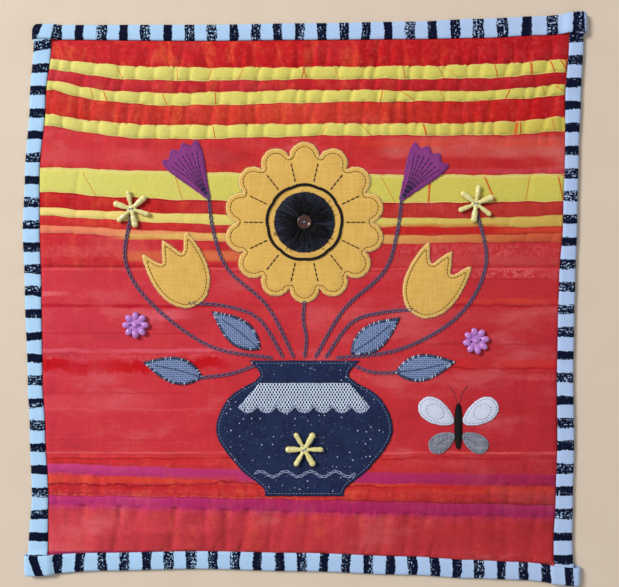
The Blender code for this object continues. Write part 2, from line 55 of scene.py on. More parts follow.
Point = Tuple[float, float]
Height = Callable[[Array, Array], Array]

MM = 0.001
LOG = logging.getLogger("quilt")
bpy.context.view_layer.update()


def paint(steps: Colour) -> Colour:
    """Turn a colour of 0 to 255 steps into linear light."""
    red, green, blue = (((v / 255 + 0.055) / 1.055) ** 2.4 if v > 10.31 else v / 255 / 12.92 for v in steps)
    return red, green, blue


# Shader expressions


def operator(name: str) -> Callable[..., "Wire"]:
    """Make a method of Wire from a Math node.

    Args:
        name: The node's operation.

    Returns:
        The method.
    """

    def work(first: "Wire", *others: Any) -> "Wire":
        """Return the node's result on this value and others."""
        return first.shader.node("Math", {"operation": name}, dict(enumerate((first, *others))))

    return work


@dataclass(frozen=True, eq=False)
class Wire:
    """A shader value that Python's operators work on."""

    shader: "Shader"
    socket: bpy.types.NodeSocket

    __add__ = __radd__ = operator("ADD")
    __sub__ = operator("SUBTRACT")
    __mul__ = __rmul__ = operator("MULTIPLY")
    __truediv__ = operator("DIVIDE")
    __pow__ = operator("POWER")
    __gt__ = operator("GREATER_THAN")
    __lt__ = operator("LESS_THAN")
    sine = operator("SINE")
    size = operator("ABSOLUTE")
    whole = operator("FLOOR")
    part = operator("FRACT")

    def __rsub__(self, other: float) -> "Wire":
        """Subtract this value from a number."""
        return self * -1.0 + other

    def ease(self, low: float, high: float) -> "Wire":
        """Return a smooth climb from 0 at low to 1 at high."""
        return self.shader.node("MapRange", {"interpolation_type": "SMOOTHSTEP"}, {0: self, 1: low, 2: high})

    def axis(self, axis: int) -> "Wire":
        """Return one number of a vector."""
        return self.shader.node("SeparateXYZ", {}, {0: self}, axis)

    def stretch(self, x: float, y: float, z: float = 1) -> "Wire":
        """Return a vector with each number multiplied."""
        return self.shader.node("VectorMath", {"operation": "MULTIPLY"}, {0: self, 1: (x, y, z)})

    def brighten(self, amount: Any) -> "Wire":
        """Return a colour multiplied by a number."""
        return self.shader.node("VectorMath", {"operation": "SCALE"}, {0: self, 3: amount})

    def mix(self, share: Any, other: Any) -> "Wire":
        """Return this colour with a share of another."""
        return self.shader.mix(share, self, other)

    def dice(self) -> Tuple["Wire", "Wire", "Wire"]:
        """Return three even random numbers that are the same for one vector."""
        thrown = self.shader.node("WhiteNoise", {"noise_dimensions": "3D"}, {"Vector": self}, "Color")
        return thrown.axis(0), thrown.axis(1), thrown.axis(2)


class Shader:
    """A material's nodes, made in one line each."""

    def __init__(self, name: str) -> None:
        """Start a material with its Principled shader.

        Args:
            name: The material's name.
        """
        self.material = bpy.data.materials.new(name)
        self.material.use_nodes = True
        self.tree = self.material.node_tree
        self.surface = self.tree.nodes["Principled BSDF"]
        self.place = self.node("TexCoord", {}, {}, "Object")

    def node(self, kind: str, settings: Dict[str, Any], values: Dict[Any, Any], output: Any = 0) -> Wire:
        """Add a node.

        Args:
            kind: The node's type without its prefix.
            settings: Its own settings, with "stops" for the places and colours of a ramp in steps.
            values: Its sockets' numbers, colours or wires, by name or place.
            output: The output to return.

        Returns:
            The output as a wire.
        """
        prefix = "ShaderNodeTex" if kind in ("Noise", "Voronoi", "WhiteNoise") else "ShaderNode"
        made = self.tree.nodes.new(prefix + kind)
        for key, value in settings.items():
            if key != "stops":
                setattr(made, key, value)
                continue
            made.color_ramp.interpolation = "CONSTANT"
            while len(made.color_ramp.elements) < len(value):
                made.color_ramp.elements.new(1.0)
            for element, (place, colour) in zip(made.color_ramp.elements, value):
                element.position = place
                element.color = (*colour, 1.0)
        self.feed(made, values)
        return Wire(self, made.outputs[output])

    def feed(self, made: bpy.types.Node, values: Dict[Any, Any]) -> None:
        """Give a node's sockets their wires, numbers or colours.

        Args:
            made: The node.
            values: What each socket gets, by name or place.
        """
        for key, value in values.items():
            if isinstance(value, Wire):
                self.tree.links.new(value.socket, made.inputs[key])
            else:
                made.inputs[key].default_value = value

    def map(self, name: str) -> Wire:
        """Return the place on one of the piece's UV maps."""
        return self.node("UVMap", {"uv_map": name}, {})

    def join(self, x: Any, y: Any, z: Any = 0.0) -> Wire:
        """Return a vector of three numbers."""
        return self.node("CombineXYZ", {}, {0: x, 1: y, 2: z})

    def noise(self, scale: float, detail: float = 2, rough: float = 0.5, twist: float = 0,
              at: Optional[Wire] = None) -> Wire:
        """Return noise of about 0 to 1 with so many clouds to a metre, at a vector or else the place."""
        values = {"Vector": at or self.place, "Scale": scale, "Detail": detail, "Roughness": rough}
        return self.node("Noise", {}, {**values, "Distortion": twist})

    def mix(self, share: Any, first: Any, second: Any) -> Wire:
        """Return two colours mixed.

        Args:
            share: How much of the second.
            first: A wire or colour.
            second: A wire or colour.

        Returns:
            The mixed colour.
        """
        values = {0: share}
        for key, colour in ((6, first), (7, second)):
            values[key] = colour if isinstance(colour, Wire) else (*paint(colour), 1.0)
        return self.node("Mix", {"data_type": "RGBA", "clamp_factor": True}, values, 2)

    def finish(self, colour: Wire, roughness: Any, relief: Optional[Wire], depth: float, gloss: float = 0.12,
               **fixed: Any) -> bpy.types.Material:
        """Set the surface's inputs.

        Args:
            colour: The base colour.
            roughness: The roughness.
            relief: What the bump reads, from 0 to 1.
            depth: The height of the relief in metres.
            gloss: The specular level.
            fixed: Other inputs that are the same all over, with _ for spaces in their names.

        Returns:
            The material.
        """
        inputs = {"Base Color": colour, "Roughness": roughness, "Specular IOR Level": gloss}
        inputs.update({key.replace("_", " "): value for key, value in fixed.items()})
        if relief:
            inputs["Normal"] = self.node("Bump", {}, {"Height": relief, "Distance": depth, "Strength": 1.0})
        self.feed(self.surface, inputs)
        return self.material

    def weave(self, pitch: float, unevenness: float = 0.5) -> Wire:
        """Return the height of a plain weave, from about 0 to 1.

        Args:
            pitch: Millimetres from thread to thread.
            unevenness: How much the threads wander and thicken.

        Returns:
            The height.
        """
        wander = self.noise(260) * unevenness
        turn = 2 * math.pi / (pitch * MM)
        across = (self.place.axis(0) * turn + wander * 4).sine()
        along = (self.place.axis(1) * turn + wander * 3).sine()
        return (across * along * 0.5 + (across.size() + along.size()) * 0.25) * 0.5 + 0.5


# Finishes


@dataclass(frozen=True)
class Band:
    """A stripe of the pieced top: its colour at the left, middle and right, which holds the dye's own
    changes and painted light that dims toward the right, and how it is dyed.
    """

    left: Colour
    middle: Colour
    right: Colour
    mottle: float
    crackle: float
    cloud: float


@dataclass(frozen=True)
class Streak:
    """A soft line that the dye left across the cloth. Grain is how far wriggling marks break it up."""

    height: float
    spread: float
    start: float
    end: float
    colour: Colour
    strength: float
    ragged: float
    grain: float = 0.0


@dataclass(frozen=True)
class Trim:
    """A fine line beside a seam, placed by stripe number. Dash is how far it is broken up."""

    stripe: float
    half: float
    start: float
    end: float
    colour: Colour
    strength: float
    dash: float


# Each stripe's colours at the left, middle and right hold painted light that dims toward the right, mixed
# with the dye's own changes
BANDS = [Band(*row) for row in (
    ((197, 38, 43), (195, 27, 31), (180, 22, 30), 1, 0, 0.2),
    ((216, 209, 116), (214, 203, 101), (206, 196, 92), 0, 1, 0.1),
    ((195, 46, 54), (188, 34, 40), (178, 26, 34), 0.7, 0, 0.2),
    ((214, 206, 112), (215, 204, 102), (203, 193, 91), 0, 1, 0.1),
    ((197, 47, 39), (204, 56, 42), (184, 15, 23), 1, 0, 0.2),
    ((216, 208, 114), (215, 205, 104), (201, 183, 81), 0, 1, 0.1),
    ((201, 52, 59), (196, 44, 47), (190, 50, 46), 0.3, 0, 1),
    ((211, 206, 107), (205, 194, 90), (201, 189, 85), 0, 1, 0.15),
    ((187, 29, 35), (186, 42, 38), (178, 50, 44), 0.6, 0, 0.3),
    ((230, 206, 123), (214, 198, 100), (198, 162, 80), 0, 0, 0.1),
    ((200, 44, 46), (188, 40, 40), (182, 50, 42), 0.6, 0, 0.3),
    ((226, 124, 96), (218, 168, 94), (188, 78, 52), 0.1, 0, 0.2),
    ((197, 43, 51), (196, 44, 50), (184, 44, 48), 0.6, 0, 0.4),
    ((203, 54, 68), (198, 47, 56), (184, 44, 50), 0.2, 0, 0.6),
    ((201, 54, 69), (198, 49, 58), (181, 42, 50), 0.2, 0, 0.8),
    ((201, 52, 66), (200, 47, 55), (178, 40, 50), 0.2, 0, 0.8),
    ((204, 50, 58), (204, 48, 50), (174, 42, 52), 0.6, 0, 0.3),
    ((188, 57, 118), (178, 43, 100), (154, 33, 70), 0.1, 0, 0.3),
    ((199, 47, 58), (202, 50, 50), (164, 38, 44), 0.8, 0, 0.3),
    ((182, 49, 112), (168, 34, 90), (154, 36, 82), 0.25, 0, 0.3),
    ((204, 64, 76), (196, 56, 66), (177, 44, 51), 0.6, 0, 0.9),
)]

STREAKS = [Streak(*row) for row in (
    (115, 8, 60, 205, (206, 112, 104), 0.6, 3, 0.25),
    (118, 2.5, 40, 205, (214, 62, 30), 0.6, 1.5, 0.2),
    (103.5, 4, 60, 185, (176, 26, 36), 0.7, 2.5),
    (97, 2, 20, 205, (196, 66, 86), 0.6, 1.2),
    (108, 6, -205, -60, (216, 92, 100), 0.3, 3),
    (53, 4, 20, 150, (190, 22, 22), 0.7, 1.2),
    (51.5, 2.4, 150, 205, (206, 66, 40), 0.7, 0.6),
    (47.4, 2.3, -138, -60, (220, 186, 94), 0.8, 0.3),
    (25.2, 2.6, -128, -75, (192, 14, 24), 0.9, 2),
    (32.6, 4.2, -136, -45, (214, 118, 70), 0.75, 0.6),
    (36, 5, 60, 205, (206, 84, 88), 0.75, 1, 1),
    (28.6, 3.4, 60, 205, (194, 82, 82), 0.5, 1),
    (36, 5, -205, -130, (214, 88, 86), 0.6, 1, 0.7),
    (19, 3.2, 75, 205, (212, 96, 100), 0.85, 1.5, 1),
    (22.6, 1, -205, 205, (224, 92, 96), 0.5, 0.4),
    (14.6, 0.7, 75, 205, (168, 30, 38), 0.6, 0.8),
    (24.9, 0.7, -205, -60, (150, 26, 36), 0.7, 0.5),
    (3.5, 1.8, -205, -185, (226, 110, 116), 0.7, 1.6),
    (-5.5, 1.5, -205, -70, (176, 16, 36), 0.85, 1.4),
    (-1.8, 2.2, 105, 205, (214, 66, 42), 0.55, 2),
    (-5.2, 0.9, 70, 205, (156, 20, 30), 0.85, 3.2),
    (-13, 5, 80, 205, (200, 84, 82), 0.3, 3),
    (-12, 4, -130, -90, (222, 104, 116), 0.6, 2),
    (-26.2, 0.7, -205, -80, (178, 28, 46), 0.6, 0.8),
    (-34.5, 0.8, 95, 205, (158, 34, 46), 0.7, 0.8),
    (-39.5, 1.6, -205, -50, (218, 96, 112), 0.6, 2),
    (-45, 2.2, -205, -60, (220, 84, 88), 0.6, 2, 1),
    (-51, 4.6, -205, -60, (190, 10, 22), 0.95, 8),
    (-50, 4.4, 75, 205, (204, 42, 34), 0.6, 1.5),
    (-52.8, 0.8, 100, 205, (156, 22, 32), 0.85, 2.8),
    (-59.5, 2.5, 100, 205, (206, 84, 88), 0.5, 2, 0.6),
    (-71.8, 0.6, -205, -70, (172, 30, 42), 0.5, 1.2),
    (-80, 7, -205, -110, (216, 84, 92), 0.35, 5),
    (-84.2, 0.8, -205, -50, (218, 88, 96), 0.3, 2.2),
    (-107.5, 0.6, -205, -90, (176, 32, 42), 0.4, 1),
    (-86, 5, 110, 205, (172, 32, 40), 0.4, 3),
    (-117.2, 1, -205, 205, (224, 92, 88), 0.6, 0.8),
    (-121.4, 0.9, -205, 205, (156, 26, 34), 0.7, 1.4),
    (-123.4, 1.4, -205, -70, (204, 40, 40), 0.6, 1),
    (-137.4, 2.4, -205, -50, (216, 70, 40), 0.75, 1.2, 0.5),
    (-142.6, 2.4, -40, 90, (216, 74, 40), 0.7, 1.2, 0.5),
    (-145.6, 2.8, 80, 195, (206, 66, 42), 0.6, 1.2, 0.5),
    (-141.4, 0.9, -205, 70, (120, 14, 26), 0.85, 4.2),
    (-175, 5, 30, 160, (176, 44, 48), 0.5, 3),
    (-185, 8, -150, 205, (172, 44, 50), 0.5, 4),
    (-143.6, 1.8, -205, 140, (186, 30, 36), 0.7, 1.5),
    (-193, 1.4, -205, -110, (168, 40, 100), 0.8, 0.8),
)]

TRIMS = [Trim(*row) for row in (
    (18.95, 0.035, -205, 20, (230, 120, 100), 0.65, 1),
    (18.97, 0.03, 20, 205, (110, 28, 34), 0.8, 0.3),
    (17.03, 0.04, -205, 205, (196, 60, 60), 0.5, 0.2),
    (11, 0.08, -205, 205, (226, 140, 90), 0.3, 0.3),
)]


class StripeDye(Shader):
    """The nodes of striped cotton, each method laying more over the colour so far.

    The Cloth map holds x in metres and the stripe's number, and the Creases map the metres to the nearest
    seam and how deep the crease is.
    """

    def __init__(self, name: str, half_width: float) -> None:
        """Start with the stripes' plain colours, which change from left to right, partly with the dye and
        partly as painted light that dims toward the right.

        Args:
            name: The material's name.
            half_width: Half the width of the cloth in metres.
        """
        super().__init__(name)
        cloth = self.map("Cloth")
        self.x, self.stripe = cloth.axis(0), cloth.axis(1)
        fray, bleed = self.noise(420) - 0.5, self.noise(2600, 1) - 0.5
        wavy = self.stripe + fray * 0.02 + (bleed * 0.45 + fray * 0.06) * self.stripe.ease(15.4, 15.9)
        traits = self.steps(wavy, [(band.mottle, band.crackle, band.cloud) for band in BANDS])
        self.mottle, self.yellow, self.cloud = (traits.axis(axis) for axis in range(3))
        left, middle, right = (self.steps(wavy, [paint(getattr(band, side)) for band in BANDS])
                               for side in ("left", "middle", "right"))
        # Painted light: the colours dim from left to right as the window light falls off, mixed with the
        # dye's own changes
        west, east = self.x.ease(-half_width, 0), self.x.ease(0, half_width)
        self.colour = left.mix(west, middle).mix(east, right)

    def steps(self, stripe: Wire, colours: Sequence[Colour]) -> Wire:
        """Return one colour for each stripe, from a ramp that holds ten of its 256 steps for each."""
        stops = [(max(10 * index - 0.5, 0.0) / 255, colour) for index, colour in enumerate(colours)]
        return self.node("ValToRGB", {"stops": stops}, {0: stripe * (10 / 255)})

    def over(self, share: Any, colour: Any) -> None:
        """Lay a share of a colour over the colour so far."""
        self.colour = self.colour.mix(share, colour)

    def dye(self) -> None:
        """Add mottles, upright runs and clouds of the dye, and painted shade in soft upright folds."""
        runs = self.noise(85, 4, 0.62, 0.5, self.place.stretch(1, 0.5))
        painted_fold_shade = self.noise(150, 3, 0.6, 0.3, self.place.stretch(1, 0.2))
        spots = self.noise(330, 3, 0.65)
        puddles = self.noise(42, 4, 0.62, at=self.place.stretch(0.4, 1))
        threads = self.noise(800, at=self.place.stretch(1, 0.05))
        dark = self.colour.mix(0.85, self.colour.brighten(0.55))
        light = self.colour.mix(0.5, (230, 98, 58))
        milky = self.colour.mix(0.3, (222, 130, 132))
        west = self.x.ease(0.16, -0.04) * 0.75 + 0.2
        self.over(runs.ease(0.49, 0.66) * self.mottle * west, light)
        # Dark runs: partly dye mottle, partly painted shade of soft upright folds
        self.over(runs.ease(0.46, 0.32) * self.mottle * 0.35, dark)
        # Painted shade in soft upright folds
        self.over(painted_fold_shade.ease(0.46, 0.32) * self.mottle * 0.6, dark)
        self.over(spots.ease(0.48, 0.36) * self.mottle * 0.5, dark)
        self.over(spots.ease(0.54, 0.68) * self.mottle * 0.35, milky)
        self.over(puddles.ease(0.50, 0.70) * self.cloud, milky)
        self.over(puddles.ease(0.47, 0.30) * self.cloud * 0.5, dark)
        self.over(threads.ease(0.5, 0.7) * self.cloud * 0.12, dark)

    @staticmethod
    def between(value: Wire, start: float, end: float, soft: float) -> Wire:
        """Return 1 from start to end in millimetres, falling to 0 within soft metres of them."""
        rise = value.ease(start * MM - soft, start * MM + soft)
        return rise * value.ease(end * MM + soft, end * MM - soft)

    def streaks(self) -> None:
        """Add the soft lines across the cloth."""
        x, y = self.place.axis(0), self.place.axis(1)
        slow = self.noise(22, at=self.place.stretch(1, 0.15)) - 0.5
        quick = self.noise(130, 3, 0.6, at=self.place.stretch(1, 0.6)) - 0.5
        fade = self.noise(35, 1, at=self.place.stretch(1, 0.3)).ease(0.3, 0.6)
        marks = self.noise(380, 4, 0.7, 0.3).ease(0.44, 0.60)
        for row in STREAKS:
            wobble = slow * (row.ragged * 2.2 * MM) + quick * (row.ragged * 1.6 * MM)
            away = (y - row.height * MM + wobble).size()
            shape = away.ease(row.spread * MM * 1.3, row.spread * MM * 0.5)
            share = shape * self.between(x, row.start, row.end, 0.012) * (fade * 0.6 + 0.4) * row.strength
            if row.grain:
                share = share * (marks * row.grain + (1 - row.grain))
            self.over(share, row.colour)

    def trims(self) -> None:
        """Add the fine lines beside some seams."""
        broken = self.noise(210, 2, 0.7, at=self.join(self.x, 0.5)).ease(0.48, 0.54)
        faded = self.noise(30, 1, at=self.join(self.x, 3.5)).ease(0.35, 0.62) * 0.7 + 0.3
        for row in TRIMS:
            line = (self.stripe - row.stripe).size().ease(row.half * 1.2, row.half * 0.5)
            dashes = broken * faded * row.dash + (1 - row.dash)
            share = line * self.between(self.x, row.start, row.end, 0.01) * dashes * row.strength
            self.over(share, row.colour)

    def crackle(self) -> None:
        """Add thin red cracks straight across the yellow stripes."""
        row, down = self.stripe.whole(), self.stripe.part() - 0.5
        for layer, pitch in enumerate((0.0245, 0.0385)):
            place = self.x / pitch + row * 0.37 + 7.3 * layer
            cell = place.whole()
            where, lean, width = self.join(cell, row, layer + 0.5).dice()
            chance = self.join(cell, row, layer + 8.5).dice()[0]
            middle = where * 0.3 + 0.35
            away = (place.part() - middle - (lean - 0.35) * down * 0.55).size() * pitch
            half = width * width * width * (self.x.ease(-0.05, 0.15) * 0.0007 + 0.0003) + 0.00024
            drawn = (away / half).ease(1.5, 0.7) * (chance < self.x * 1.7 + 0.36) * self.yellow
            self.over(drawn * 0.85, (200, 74, 34))

    def round_ends(self, end: float) -> None:
        """Round off the yellow stripes' right ends, and paint a highlight along their top and bottom rims.

        Args:
            end: Where they end, in metres.
        """
        from_middle = (self.stripe.part() - 0.5).size() * 2
        past = (self.x + from_middle**8 * 0.0035).ease(end - 0.0004, end + 0.0004)
        self.over(past * self.yellow, (196, 62, 34))
        # Painted highlight along the yellow stripes' top and bottom rims
        self.over(from_middle.ease(0.80, 0.93) * self.yellow * 0.35, (240, 214, 150))


@dataclass(frozen=True)
class StripedCotton:
    """Hand-dyed cotton in stripes."""

    name: str = "striped_cotton"
    half_width: float = 0.2
    yellow_end: float = 0.1985

    def material(self) -> bpy.types.Material:
        """Make the finish.

        Returns:
            The material.
        """
        shader = StripeDye(self.name, self.half_width)
        shader.dye()
        shader.streaks()
        shader.trims()
        shader.crackle()
        shader.round_ends(self.yellow_end)
        creases = shader.map("Creases")
        # Painted shade: the colour darkens near the seams and in the creases, read from the Creases map
        shade = creases.axis(0).ease(0.0011, 0.0001) * 0.25 + creases.axis(1) * 0.28
        colour = shader.colour.brighten(1 - shade.ease(0, 1) * 0.44)
        grain = shader.noise(700, 4, 0.75)
        colour = colour.brighten(grain * 0.5 + 0.75)
        return shader.finish(colour, 0.9, shader.weave(0.42) * 0.5 + grain * 0.5, 0.0002)


@dataclass(frozen=True)
class BrushedStripes:
    """Pale cotton with dry-brushed bars, each more or less worn and to another side.

    The Cloth map holds the bar's number and metres across the strip.
    """

    name: str = "binding_cotton"
    pitch: float = 0.017
    half_bar: float = 0.212

    def material(self) -> bpy.types.Material:
        """Make the finish.

        Returns:
            The material.
        """
        shader = Shader(self.name)
        cloth = shader.map("Cloth")
        number, across = cloth.axis(0), cloth.axis(1)
        along = number * self.pitch
        place = number + (shader.noise(75, 1, at=shader.join(along, across)) - 0.5) * 0.2
        full, lopsided, edged = shader.join(place.whole(), 0.5, 0.5).dice()
        from_middle = place.part() - 0.5
        rough = shader.noise(620, 4, 0.65, at=shader.join(along * 1.3, across)) - 0.5
        reach = from_middle.size() + rough * 0.2 + (full - 0.5) * 0.03
        bar = reach.ease(self.half_bar + 0.012, self.half_bar - 0.012)
        out = from_middle / self.half_bar
        covered = full * 0.34 + 0.78 + out * (lopsided - 0.5) * 0.5 + out.size() ** 3 * edged * 0.2
        speckle = shader.noise(650, 3, 0.65, at=shader.join(along, across))
        lines = shader.noise(1100, 1, at=shader.join(along, across * 0.15))
        worn = (speckle * 0.7 + lines * 0.3).ease(0.38, 0.62)
        # Painted light: the ground is brighter and bluer on the left, toward the window, and greyer on the
        # right
        side = shader.place.axis(0).ease(-0.21, 0.21)
        ground = shader.mix(side, (172, 208, 241), (174, 196, 233))
        ground = ground.brighten(shader.noise(90) * 0.12 + 0.94)
        weave = shader.weave(0.4)
        colour = ground.mix(bar * (worn - covered).ease(0.07, -0.07), (4, 12, 40))
        # Painted shade: a little darker in the weave's hollows
        return shader.finish(colour.brighten(weave * 0.08 + 0.95), 0.88, weave, 0.00015)


@dataclass(frozen=True)
class PlainCloth:
    """Woven cloth of one colour, with uneven threads."""

    name: str
    colour: Colour
    thread: Colour
    pitch: float = 0.5
    depth: float = 0.0002
    slub: float = 0.35
    fuzz: float = 0.0
    edge: Optional[Colour] = None

    def material(self) -> bpy.types.Material:
        """Make the finish.

        Returns:
            The material.
        """
        shader = Shader(self.name)
        warp = shader.noise(900, at=shader.place.stretch(1, 0.07))
        weft = shader.noise(900, at=shader.place.stretch(0.07, 1))
        weave = shader.weave(self.pitch)
        # The slubs are the threads' own tone; the weave's share is painted light, the raised threads lighter
        # than the hollows
        share = (warp * 0.5 + weft * 0.5).ease(0.36, 0.66) * self.slub + weave * 0.25
        colour = shader.mix(share, self.colour, self.thread).brighten(shader.noise(60) * 0.2 + 0.9)
        if self.edge:
            away = shader.map("Edge").axis(0) + shader.noise(900) * 0.0009
            colour = colour.mix(away.ease(0.0016, 0.0006) * 0.8, self.edge)
        relief = weave * 0.7 + (warp + weft) * 0.25
        return shader.finish(colour, 0.9, relief, self.depth, Sheen_Weight=self.fuzz, Sheen_Roughness=0.5)


@dataclass(frozen=True)
class SpeckledCloth:
    """Dark printed cotton with pale specks and black dots."""

    name: str
    colour: Colour
    speck: Colour
    dot: Colour

    @staticmethod
    def specks(shader: Shader, spacing: float, size: float, share: float, seed: float) -> Wire:
        """Return round marks.

        Args:
            shader: The shader.
            spacing: Millimetres from mark to mark.
            size: Radius as a share of the spacing.
            share: How many of the places hold a mark.
            seed: Where in the pattern to start.

        Returns:
            1 on the marks and 0 off them.
        """
        place = shader.node("VectorMath", {"operation": "ADD"}, {0: shader.place, 1: (seed, seed, 0)})
        values = {"Vector": place.stretch(1, 1, 0), "Scale": 1 / (spacing * MM), "Randomness": 1.0}
        near = shader.node("Voronoi", {}, values, "Distance")
        tint = shader.node("Voronoi", {}, values, "Color")
        radius = tint.axis(1) * 0.5 + 0.6
        return (near / radius).ease(size * 1.2, size * 0.8) * (tint.axis(0) > 1 - share)

    def material(self) -> bpy.types.Material:
        """Make the finish.

        Returns:
            The material.
        """
        shader = Shader(self.name)
        weave = shader.weave(0.45)
        colour = shader.mix(shader.noise(90).ease(0.35, 0.7) * 0.35, self.colour, self.dot)
        for spacing, size, share, seed, strength, tone in (
                (2.4, 0.24, 0.6, 0.31, 0.9, self.dot), (3.2, 0.16, 0.45, 0.17, 0.85, self.speck),
                (1.7, 0.15, 0.25, 0.73, 0.5, self.speck)):
            colour = colour.mix(self.specks(shader, spacing, size, share, seed) * strength, tone)
        # Painted shade: darker in the weave's hollows
        return shader.finish(colour.brighten(weave * 0.25 + 0.85), 0.85, weave, 0.00015)


@dataclass(frozen=True)
class BasketWeave:
    """Coarse cloth whose threads show over and under each other."""

    name: str
    colour: Colour
    gap: Colour
    pitch: float = 1.5

    def material(self) -> bpy.types.Material:
        """Make the finish.

        Returns:
            The material.
        """
        shader = Shader(self.name)
        turn = math.pi / (self.pitch * MM)
        sway = shader.noise(150, 1) * 2.5
        x, y = (shader.place.axis(axis) * turn + sway for axis in (0, 1))
        over = (x / math.pi).whole() + (y / math.pi).whole()
        is_warp = (over * 0.5).part() > 0.25
        ridge = is_warp * x.sine().size() + (1 - is_warp) * y.sine().size()
        # Painted shade: the dark gap colour fills the hollows between the threads
        colour = shader.mix(ridge.ease(0.1, 0.75), self.gap, self.colour)
        return shader.finish(colour.brighten(shader.noise(380) * 0.4 + 0.8), 0.9, ridge, 0.0005)


@dataclass(frozen=True)
class OpenLace:
    """White lace: a net of round holes between its threads."""

    name: str = "white_lace"
    hole: float = 2.3

    def material(self) -> bpy.types.Material:
        """Make the finish.

        Returns:
            The material.
        """
        shader = Shader(self.name)
        turn = math.pi / (self.hole * MM)
        x, y = shader.place.axis(0), shader.place.axis(1) * 0.6
        twist = shader.noise(1100)
        sway = shader.noise(260, 1) * 1.6
        net = ((x + y) * turn + sway).sine().size() * ((x - y) * turn + sway).sine().size()
        solid = (net + (twist - 0.5) * 0.25).ease(0.5, 0.38)
        colour = shader.mix(twist, (178, 196, 222), (222, 234, 250))
        return shader.finish(colour, 0.85, solid * 0.7 + twist * 0.3, 0.0005, Alpha=solid)


@dataclass(frozen=True)
class Yarn:
    """Twisted thread. The UV map holds metres along and a turn around."""

    name: str
    colour: Colour
    shine: float = 0.6

    def material(self) -> bpy.types.Material:
        """Make the finish.

        Returns:
            The material.
        """
        shader = Shader(self.name)
        cloth = shader.map("Cloth")
        plies = cloth.axis(0) * (2 * math.pi / (0.9 * MM)) + cloth.axis(1) * (4 * math.pi)
        twist = plies.sine() * 0.5 + 0.5
        colour = shader.mix(twist * 0.35, self.colour, (0, 0, 0)).brighten(shader.noise(2200) * 0.5 + 0.8)
        return shader.finish(colour, self.shine, twist, 0.00012, gloss=0.2)


@dataclass(frozen=True)
class Glossy:
    """Moulded plastic, a little cloudy."""

    name: str
    colour: Colour
    deep: Colour

    def material(self) -> bpy.types.Material:
        """Make the finish.

        Returns:
            The material.
        """
        shader = Shader(self.name)
        scuffs = shader.noise(1600)
        colour = shader.mix(shader.noise(240, 3).ease(0.35, 0.7) * 0.5, self.colour, self.deep)
        return shader.finish(colour, scuffs * 0.12 + 0.16, scuffs, 0.00002, 0.5, Coat_Weight=0.3,
                             Subsurface_Weight=0.15, Subsurface_Radius=(0.002, 0.0016, 0.001))


@dataclass(frozen=True)
class PaleTable:
    """A plain pale floor."""

    name: str = "pale_floor"

    def material(self) -> bpy.types.Material:
        """Return the finish as a material."""
        shader = Shader(self.name)
        return shader.finish(shader.mix(shader.noise(30), (208, 190, 170), (214, 197, 178)), 0.6, None, 0)


class Cloth(Enum):
    """The finishes of the cloth, thread and buttons."""

    STRIPED = StripedCotton()
    BINDING = BrushedStripes()
    BACKING = PlainCloth("backing_cotton", (196, 60, 48), (214, 84, 64))
    LINEN = PlainCloth("golden_linen", (206, 160, 76), (230, 192, 110), 1.3, 0.0003, 0.4, 0, (240, 208, 150))
    NAVY = SpeckledCloth("navy_cotton", (32, 44, 79), (206, 212, 228), (12, 17, 36))
    BLACK = PlainCloth("black_cloth", (30, 32, 45), (52, 55, 70))
    LACE = OpenLace()
    PURPLE = PlainCloth("purple_cotton", (124, 50, 115), (150, 72, 142))
    LEAF = BasketWeave("grey_blue_weave", (136, 156, 200), (46, 58, 92))
    PALE = PlainCloth("pale_grey_cloth", (196, 202, 224), (220, 224, 240))
    BRUSHED = PlainCloth("brushed_grey_cloth", (98, 102, 116), (150, 154, 168), 0.6, 0.0004, 0.7, 0.5)
    BLACK_THREAD = Yarn("black_thread", (20, 18, 20))
    BROWN_THREAD = Yarn("brown_thread", (62, 46, 20))
    NAVY_THREAD = Yarn("navy_thread", (40, 46, 78))
    CHAIN_THREAD = Yarn("chain_thread", (96, 92, 124))
    GREY_THREAD = Yarn("grey_thread", (160, 170, 204))
    WHITE_THREAD = Yarn("white_thread", (214, 226, 244))
    GOLD_THREAD = Yarn("gold_thread", (238, 208, 146))
    RED_THREAD = Yarn("red_thread", (120, 22, 26))
    YELLOW = Glossy("yellow_plastic", (222, 214, 148), (202, 186, 108))
    LILAC = Glossy("lilac_plastic", (188, 128, 200), (158, 92, 176))
    BROWN = Glossy("brown_plastic", (70, 36, 28), (40, 18, 14))

    @property
    def slot(self) -> str:
        """Return the finish's name."""
        return self.value.name


MADE: Dict[Cloth, bpy.types.Material] = {}


def dress(piece: Thing, *cloths: Cloth) -> None:
    """Give a piece its materials, made once each.

    Args:
        piece: The piece.
        cloths: Its finishes, in the order of its material numbers.
    """
    piece.data.materials.clear()
    for cloth in cloths:
        if cloth not in MADE:
            MADE[cloth] = cloth.value.material()
        piece.data.materials.append(MADE[cloth])


# Meshes


def add_object(name: str, data: Any) -> Thing:
    """Put a new object in the scene.

    Args:
        name: Its name.
        data: The mesh, lamp or camera it holds.

    Returns:
        The object.
    """
    thing = bpy.data.objects.new(name, data)
    bpy.context.collection.objects.link(thing)
    return thing


